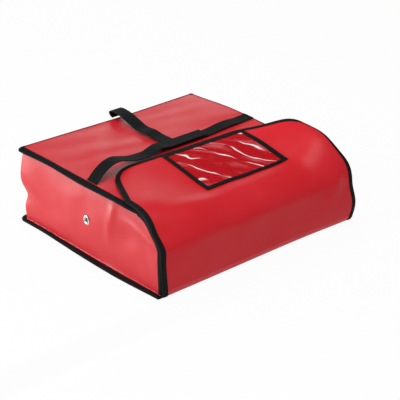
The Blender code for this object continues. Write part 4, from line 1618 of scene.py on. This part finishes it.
@dataclass
class Handle:
    """Three straps of webbing from the seams to the doubled grip in the middle.

    A hump is a list of (distance from the seam, height) pairs in millimetres. The back strap's
    humps also tell how far it hangs back there.
    """

    sizes: BagSizes
    cloth: Cloth
    top: SoftShape
    width: float = 0.030
    thickness: float = 0.0016
    step: float = 0.005
    joint_rise: float = 0.0030
    joint_length: float = 0.030
    seam_reach: float = 0.005
    seam_bite: float = 0.006
    right_swell: float = 0.0045
    back_lean: float = 0.007
    lean_zone: tuple[float, float] = (0.010, 0.085)
    tape_start: float = 0.006
    tape_full: float = 0.002
    before_end: float = 0.012
    below_end: float = 0.0006
    left_hump: tuple[tuple[float, float], ...] = (
        (0, 0), (12, 9), (30, 19), (55, 25.5), (75, 25), (96, 18), (119, 10.5), (142, 6), (172, 3)
    )
    back_hump: tuple[Triple, ...] = (
        (0, 0, 8), (6, 6, 22), (16, 13, 34), (30, 17, 31), (45, 15.5, 18), (62, 9.5, 6), (82, 4, 1)
    )

    def build(self) -> None:
        """Builds the straps and the grip."""
        self.build_grip()
        self.build_left_strap()
        self.build_right_strap()
        self.build_back_strap()

    def ribbon(self, name: str, centre: np.ndarray, across: Vector) -> bpy.types.Object:
        """A strap along a line of points.

        Args:
            name: the piece's name.
            centre: points along the strap's middle.
            across: the strap's width direction.

        Returns:
            The new object.
        """
        share = np.linspace(-1.0, 1.0, 13)
        points = centre[:, None] + share[None, :, None] * np.array(across) * (self.width / 2)
        lowest = self.top_under(points) + self.thickness / 2 + self.sizes.gap
        points[..., 2] = np.maximum(points[..., 2], lowest)
        flat = stacked(share * self.width / 2, lengths(centre[:, None], 0))
        return self.cloth.solid(name, points, flat, self.thickness, Slot.WEBBING)

    def top_under(self, points: np.ndarray) -> np.ndarray:
        """How high the top's cloth lies under each point, or the seam tape on it."""
        sizes = self.sizes
        x, y, _ = np.moveaxis(points, -1, 0)
        start, full = self.tape_start, self.tape_full
        by_side = smooth(np.abs(x), sizes.top_half - start, sizes.top_half - full)
        by_back = smooth(y, sizes.top_back - start, sizes.top_back - full)
        cloth = self.top.moved(stacked(x, y, sizes.height))[..., 2]
        return cloth + np.maximum(by_side, by_back) * sizes.tape_stand

    def line(self, start: Vector, end: Vector, heights: Move) -> np.ndarray:
        """Points from start to end in plan, with a height at each distance."""
        length = (end - start).to_2d().length
        distance = np.linspace(0.0, length, max(round(length / self.step), 2) + 1)
        share = (distance / length)[:, None]
        plan = np.array(start) * (1 - share) + np.array(end) * share
        plan[:, 2] = heights(distance)
        return plan

    def build_grip(self) -> None:
        """The two layers of the cross strap and the back strap's tab between them."""
        rise, joint = self.joint_rise, self.joint_length
        for name, node in (("grip_under", "grip_under_strap"), ("grip_over", "grip_over_strap")):
            low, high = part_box(node)
            _, y, z = middle_of(node)
            start, end = Vector((low.x, y, z)), Vector((high.x, y, z))
            centre = self.line(start, end, lambda d, z=z: z + rise * (1 - smooth(d, 0.0, joint)))
            ride(self.ribbon(name + "_webbing", centre, TO_BACK), Body.GRIP, node)
        low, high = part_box("grip_back_tab")
        x, _, z = middle_of("grip_back_tab")
        length = high.y - low.y
        start, end = Vector((x, low.y, z)), Vector((x, high.y, z))
        centre = self.line(start, end, lambda d: z + rise * smooth(d, length - joint, length))
        ride(self.ribbon("grip_tab_webbing", centre, TO_LEFT), Body.GRIP, "grip_back_tab")

    def arm(self, node: str, centre: np.ndarray, across: Vector, start: Vector, end: Vector) -> None:
        """A strap between the bag and the grip, in place of its solid; it does not bend.

        Args:
            node: the solid that it stands for.
            centre: points along its middle.
            across: its width direction.
            start: a point at the bag, not used.
            end: a point at the grip, not used.
        """
        piece = self.ribbon(node + "_webbing", centre, across)
        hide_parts(node)
        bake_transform(piece)
        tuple(start)
        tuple(end)
        log.info("%s bends between the bag and the grip", piece.name)

    def build_left_strap(self) -> None:
        """The left half of the cross strap, with the hump that a hand goes under."""
        low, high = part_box("left_strap")
        _, grip_y, over = middle_of("grip_over_strap")
        start = Vector((low.x, low.y + self.width / 2 - self.seam_bite, 0.0))
        end = Vector((high.x, grip_y, 0.0))
        base = low.z + self.thickness / 2
        length = (end - start).length
        lifted = over - base + self.joint_rise
        distances = np.array([d * MM for d, _ in self.left_hump] + [length - self.before_end, length])
        last = [lifted - self.below_end, lifted]
        heights = np.array([h * MM for _, h in self.left_hump] + last)
        centre = self.line(start, end, lambda d: base + smooth_curve(distances, heights, d))
        ends = Vector((start.x, 0, base)), Vector((end.x, 0, base))
        self.arm("left_strap", centre, TO_BACK, *ends)

    def build_right_strap(self) -> None:
        """The right half of the cross strap, lying on the top."""
        low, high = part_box("right_strap")
        _, y, z = middle_of("right_strap")
        start, end = Vector((high.x + self.seam_reach, y, z)), Vector((low.x, y, z))
        turn = np.pi / (high.x - low.x)
        centre = self.line(start, end, lambda d: z + self.right_swell * np.sin(turn * d) ** 2)
        self.arm("right_strap", centre, TO_BACK, start, end)

    def build_back_strap(self) -> None:
        """The back strap, with its hump by the back seam."""
        low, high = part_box("back_strap")
        x = middle_of("back_strap")[0]
        base = low.z + self.thickness / 2
        length = high.y - low.y
        lifted = middle_of("grip_back_tab")[2] - base + self.joint_rise
        last = (length / MM, lifted / MM, 0)
        distances, heights, behind = np.array([*self.back_hump, last]).T * MM
        start, end = Vector((x, high.y, 0.0)), Vector((x, low.y, 0.0))
        centre = self.line(start, end, lambda d: base + smooth_curve(distances, heights, d))
        distance = length - (centre[:, 1] - low.y)
        centre[:, 1] += smooth_curve(distances, behind, distance)
        centre[:, 0] += self.back_lean * (1 - smooth(distance, *self.lean_zone))
        ends = Vector((x, high.y, base)), Vector((x, low.y, base))
        self.arm("back_strap", centre, TO_LEFT, *ends)


@dataclass
class Eyelets:
    """The metal eyelets in the side walls, each with a washer inside."""

    sizes: BagSizes
    cloth: Cloth
    shape: SoftShape
    flange: float = 0.0102
    barrel: float = 0.0056
    bore: float = 0.0048
    rolled: float = 0.0074
    roll_low: float = 0.0018
    roll_high: float = 0.0009
    metal: float = 0.0006
    play: float = 0.0003
    facets: int = 48
    hole_depth: float = 0.040

    def build(self) -> None:
        """Builds both eyelets."""
        for side in Side:
            self.build_one(side)

    def turned(self, name: str, profile: list[tuple[float, float]], place: Matrix, node: str) -> None:
        """A ring on the bag, turned from a closed profile of (radius, height) points."""
        angles = np.linspace(0.0, math.tau, self.facets, endpoint=False)[:, None]
        radius, height = np.array(profile).T
        ring = stacked(radius * np.cos(angles), radius * np.sin(angles), height)
        index = np.arange(self.facets * len(profile)).reshape(self.facets, -1)
        after = np.roll(index, -1, 0)
        faces = np.stack([index, after, np.roll(after, -1, 1), np.roll(index, -1, 1)], -1)
        mesh = smooth_mesh(name, ring, faces.reshape(-1, 4))
        bm = bmesh.new()
        bm.from_mesh(mesh)
        bmesh.ops.recalc_face_normals(bm, faces=bm.faces)
        bm.to_mesh(mesh)
        bm.free()
        piece = self.cloth.placed(name, mesh, Slot.EYELET)
        piece.matrix_world = place
        ride(piece, Body.SHELL, node)

    def cut(self, place: Matrix, *names: str) -> None:
        """Cuts the eyelet's hole through some pieces."""
        reach = self.barrel + self.sizes.gap
        size = {"radius1": reach, "radius2": reach, "depth": self.hole_depth}
        bm = bmesh.new()
        bmesh.ops.create_cone(bm, cap_ends=True, segments=self.facets, **size)
        mesh = bpy.data.meshes.new("hole")
        bm.to_mesh(mesh)
        bm.free()
        cutter = linked("hole", mesh)
        cutter.matrix_world = place
        for name in names:
            piece = bpy.data.objects[name]
            modifier = piece.modifiers.new("hole", "BOOLEAN")
            modifier.object = cutter
            modifier.operation = "DIFFERENCE"
            modifier.solver = "EXACT"
            bpy.context.view_layer.update()
            result = piece.evaluated_get(bpy.context.evaluated_depsgraph_get())
            cut = bpy.data.meshes.new_from_object(result)
            piece.modifiers.clear()
            piece.data = cut
        bpy.data.objects.remove(cutter)

    def place_on_wall(self, side: Side, node: str) -> Matrix:
        """Where an eyelet sits on its wall's soft outer face, with +Z outward."""
        _, y, z = middle_of(node)
        x = side.value * float(self.sizes.half_width(z))
        around = np.array([[x, y, z], [x, y + 0.004, z], [x, y, z + 0.004]])
        middle, beside, above = (Vector(point) for point in self.shape.moved(around))
        out = (beside - middle).cross(above - middle).normalized()
        if out.x * side.value < 0:
            out = -out
        turn = out.to_track_quat("Z", "Y").to_matrix().to_4x4()
        return Matrix.Translation(middle) @ turn

    def build_one(self, side: Side) -> None:
        """Builds the eyelet in one side wall."""
        wall = side.name.lower()
        name = wall + "_eyelet"
        place = self.place_on_wall(side, name)
        front = self.sizes.gap
        back = -(self.sizes.wall_thickness + self.sizes.gap)
        crown = front + self.metal * 2
        middle = (self.flange + self.barrel) / 2
        barrel = [
            (self.flange, front),
            (self.flange + 0.0001, front + self.metal * 0.6),
            (middle + 0.0014, crown),
            (middle - 0.0012, crown + 0.0002),
            (self.bore + self.play, front + self.metal),
            (self.bore, 0.0),
            (self.bore, back - self.roll_low),
            (self.rolled, back - self.roll_low),
            (self.rolled, back - self.roll_high),
            (self.barrel, back - self.roll_high),
            (self.barrel, front),
        ]
        washer = [
            (self.flange, back),
            (self.flange, back - self.metal),
            (self.barrel + self.play, back - self.metal),
            (self.barrel + self.play, back),
        ]
        self.cut(place, "side_and_back_skin", wall + "_padding", "side_and_back_lining")
        self.turned(name + "_ring", barrel, place, name)
        self.turned(name + "_back_ring", washer, place, name + "_washer")


@dataclass
class LoopStrip:
    """The loop strip sewn to the top under the lip."""

    cloth: Cloth
    shape: SoftShape

    def build(self) -> None:
        """Builds the strip."""
        low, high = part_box("loop_strip")
        x, y = np.meshgrid(np.linspace(low.x, high.x, 61), np.linspace(low.y, high.y, 6))
        points = self.shape.moved(stacked(x, y, middle_of("loop_strip")[2]))
        flat, thickness = stacked(x, y), high.z - low.z
        piece = self.cloth.solid("loop_strip_tape", points, flat, thickness, Slot.HOOK)
        ride(piece, Body.SHELL, "loop_strip")


@dataclass(frozen=True)
class Studio:
    """The camera, the lamps, the floor and the white surroundings."""

    place: Triple = (-1.786, -2.0764, 1.3801)
    azimuth: float = -41.55
    elevation: float = 26.05
    lens: float = 130.88
    sensor: float = 36.0
    fill: float = 0.45
    gloss: float = 0.08
    floor_grey: Triple = (0.86, 0.86, 0.86)
    floor_glow: float = 0.93
    floor_reach: float = 9.0
    floor_z: float = -0.0003
    dip: float = 0.042
    dip_start: float = -0.2350
    dip_end: float = -0.272

    def build(self) -> None:
        """Builds everything."""
        self.build_camera()
        self.build_world()
        self.build_floor()
        for name, place, target, size, power in (
            ("key", (-2.2, 0.1, 2.1), (0.0, 0.0, 0.08), 1.6, 24.0),
            ("side", (-1.5, 1.7, 0.20), (-0.2, 0.0, 0.06), 0.8, 34.0),
            ("back", (1.8, 2.2, 0.80), (0.0, 0.0, 0.1), 1.0, 5.0),
            ("front", (-0.3, -0.3, 3.3), (0.0, 0.0, 0.08), 2.0, 50.0),
        ):
            data = bpy.data.lights.new(name, "AREA")
            data.size = size
            data.energy = power
            self.aimed(name, data, place, Vector(target) - Vector(place))

    @staticmethod
    def aimed(name: str, data: bpy.types.ID, place: Triple, way: Vector) -> bpy.types.Object:
        """A new camera or lamp that looks along a way."""
        made = linked(name, data)
        made.location = place
        made.rotation_euler = way.to_track_quat("-Z", "Y").to_euler()
        return made

    def build_camera(self) -> None:
        """The camera at the photograph's angle."""
        turn, rise = math.radians(self.azimuth), math.radians(self.elevation)
        level = math.cos(rise)
        back = Vector((math.sin(turn) * level, -math.cos(turn) * level, math.sin(rise)))
        data = bpy.data.cameras.new("camera")
        data.lens = self.lens
        data.sensor_width = self.sensor
        bpy.context.scene.camera = self.aimed("camera", data, self.place, -back)

    def build_world(self) -> None:
        """White surroundings, dimmer as a light and in gloss than as a backdrop."""
        world = bpy.data.worlds.new("studio")
        world.use_nodes = True
        bpy.context.scene.world = world
        nodes = Nodes(world.node_tree)
        camera = nodes.node("ShaderNodeLightPath", output="Is Camera Ray")
        seen = camera.most(camera.beside("Is Transmission Ray"))
        levels = {"Value": camera.beside("Is Glossy Ray"), "To Min": self.fill, "To Max": self.gloss}
        level = nodes.node("ShaderNodeMapRange", inputs=levels)
        dim = nodes.node("ShaderNodeBackground", inputs={"Color": WHITE, "Strength": level})
        white = nodes.node("ShaderNodeBackground", inputs={"Color": WHITE, "Strength": 1.0})
        nodes.end(nodes.node("ShaderNodeMixShader", inputs={0: seen, 1: dim, 2: white}))

    def build_floor(self) -> None:
        """A white floor that keeps a faint shadow and dips to make room for the opened flap."""
        surface = Surface("floor")
        surface.set(Base_Color=self.floor_grey, Roughness=0.9)
        glow = surface.node("ShaderNodeEmission", inputs={"Color": WHITE})
        seen = surface.node("ShaderNodeLightPath", output="Is Camera Ray")
        plain = Value(surface, surface.shader.outputs[0])
        inputs = {0: seen * self.floor_glow, 1: plain, 2: glow}
        surface.end(surface.node("ShaderNodeMixShader", inputs=inputs))
        reach = self.floor_reach
        rows = np.concatenate([[reach], np.linspace(self.dip_start, self.dip_end, 13), [-reach]])
        depths = self.dip * smooth(-rows, -self.dip_start, -self.dip_end)
        corners = [(x, y, -z) for y, z in zip(rows, depths) for x in (reach, -reach)]
        faces = [(2 * i, 2 * i + 1, 2 * i + 3, 2 * i + 2) for i in range(len(rows) - 1)]
        mesh = bpy.data.meshes.new("floor")
        mesh.from_pydata(corners, [], faces)
        mesh.shade_smooth()
        mesh.materials.append(surface.material)
        floor = linked("floor", mesh)
        floor.location.z = self.floor_z


def main() -> None:
    """Builds the bag and its surroundings."""
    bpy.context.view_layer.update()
    bpy.context.scene.view_settings.view_transform = "Standard"
    sizes = BagSizes()
    cloth = Cloth(dressed_slots())
    Studio().build()
    body = BagBody(sizes, cloth, body_shape(sizes))
    body.build()
    Flap(sizes, cloth, flap_shape(sizes), body.blend_fold).build()
    Handle(sizes, cloth, body.shape).build()
    Eyelets(sizes, cloth, body.shape).build()
    LoopStrip(cloth, body.shape).build()


if __name__ == "__main__":
    logging.basicConfig(level=logging.INFO)
    main()
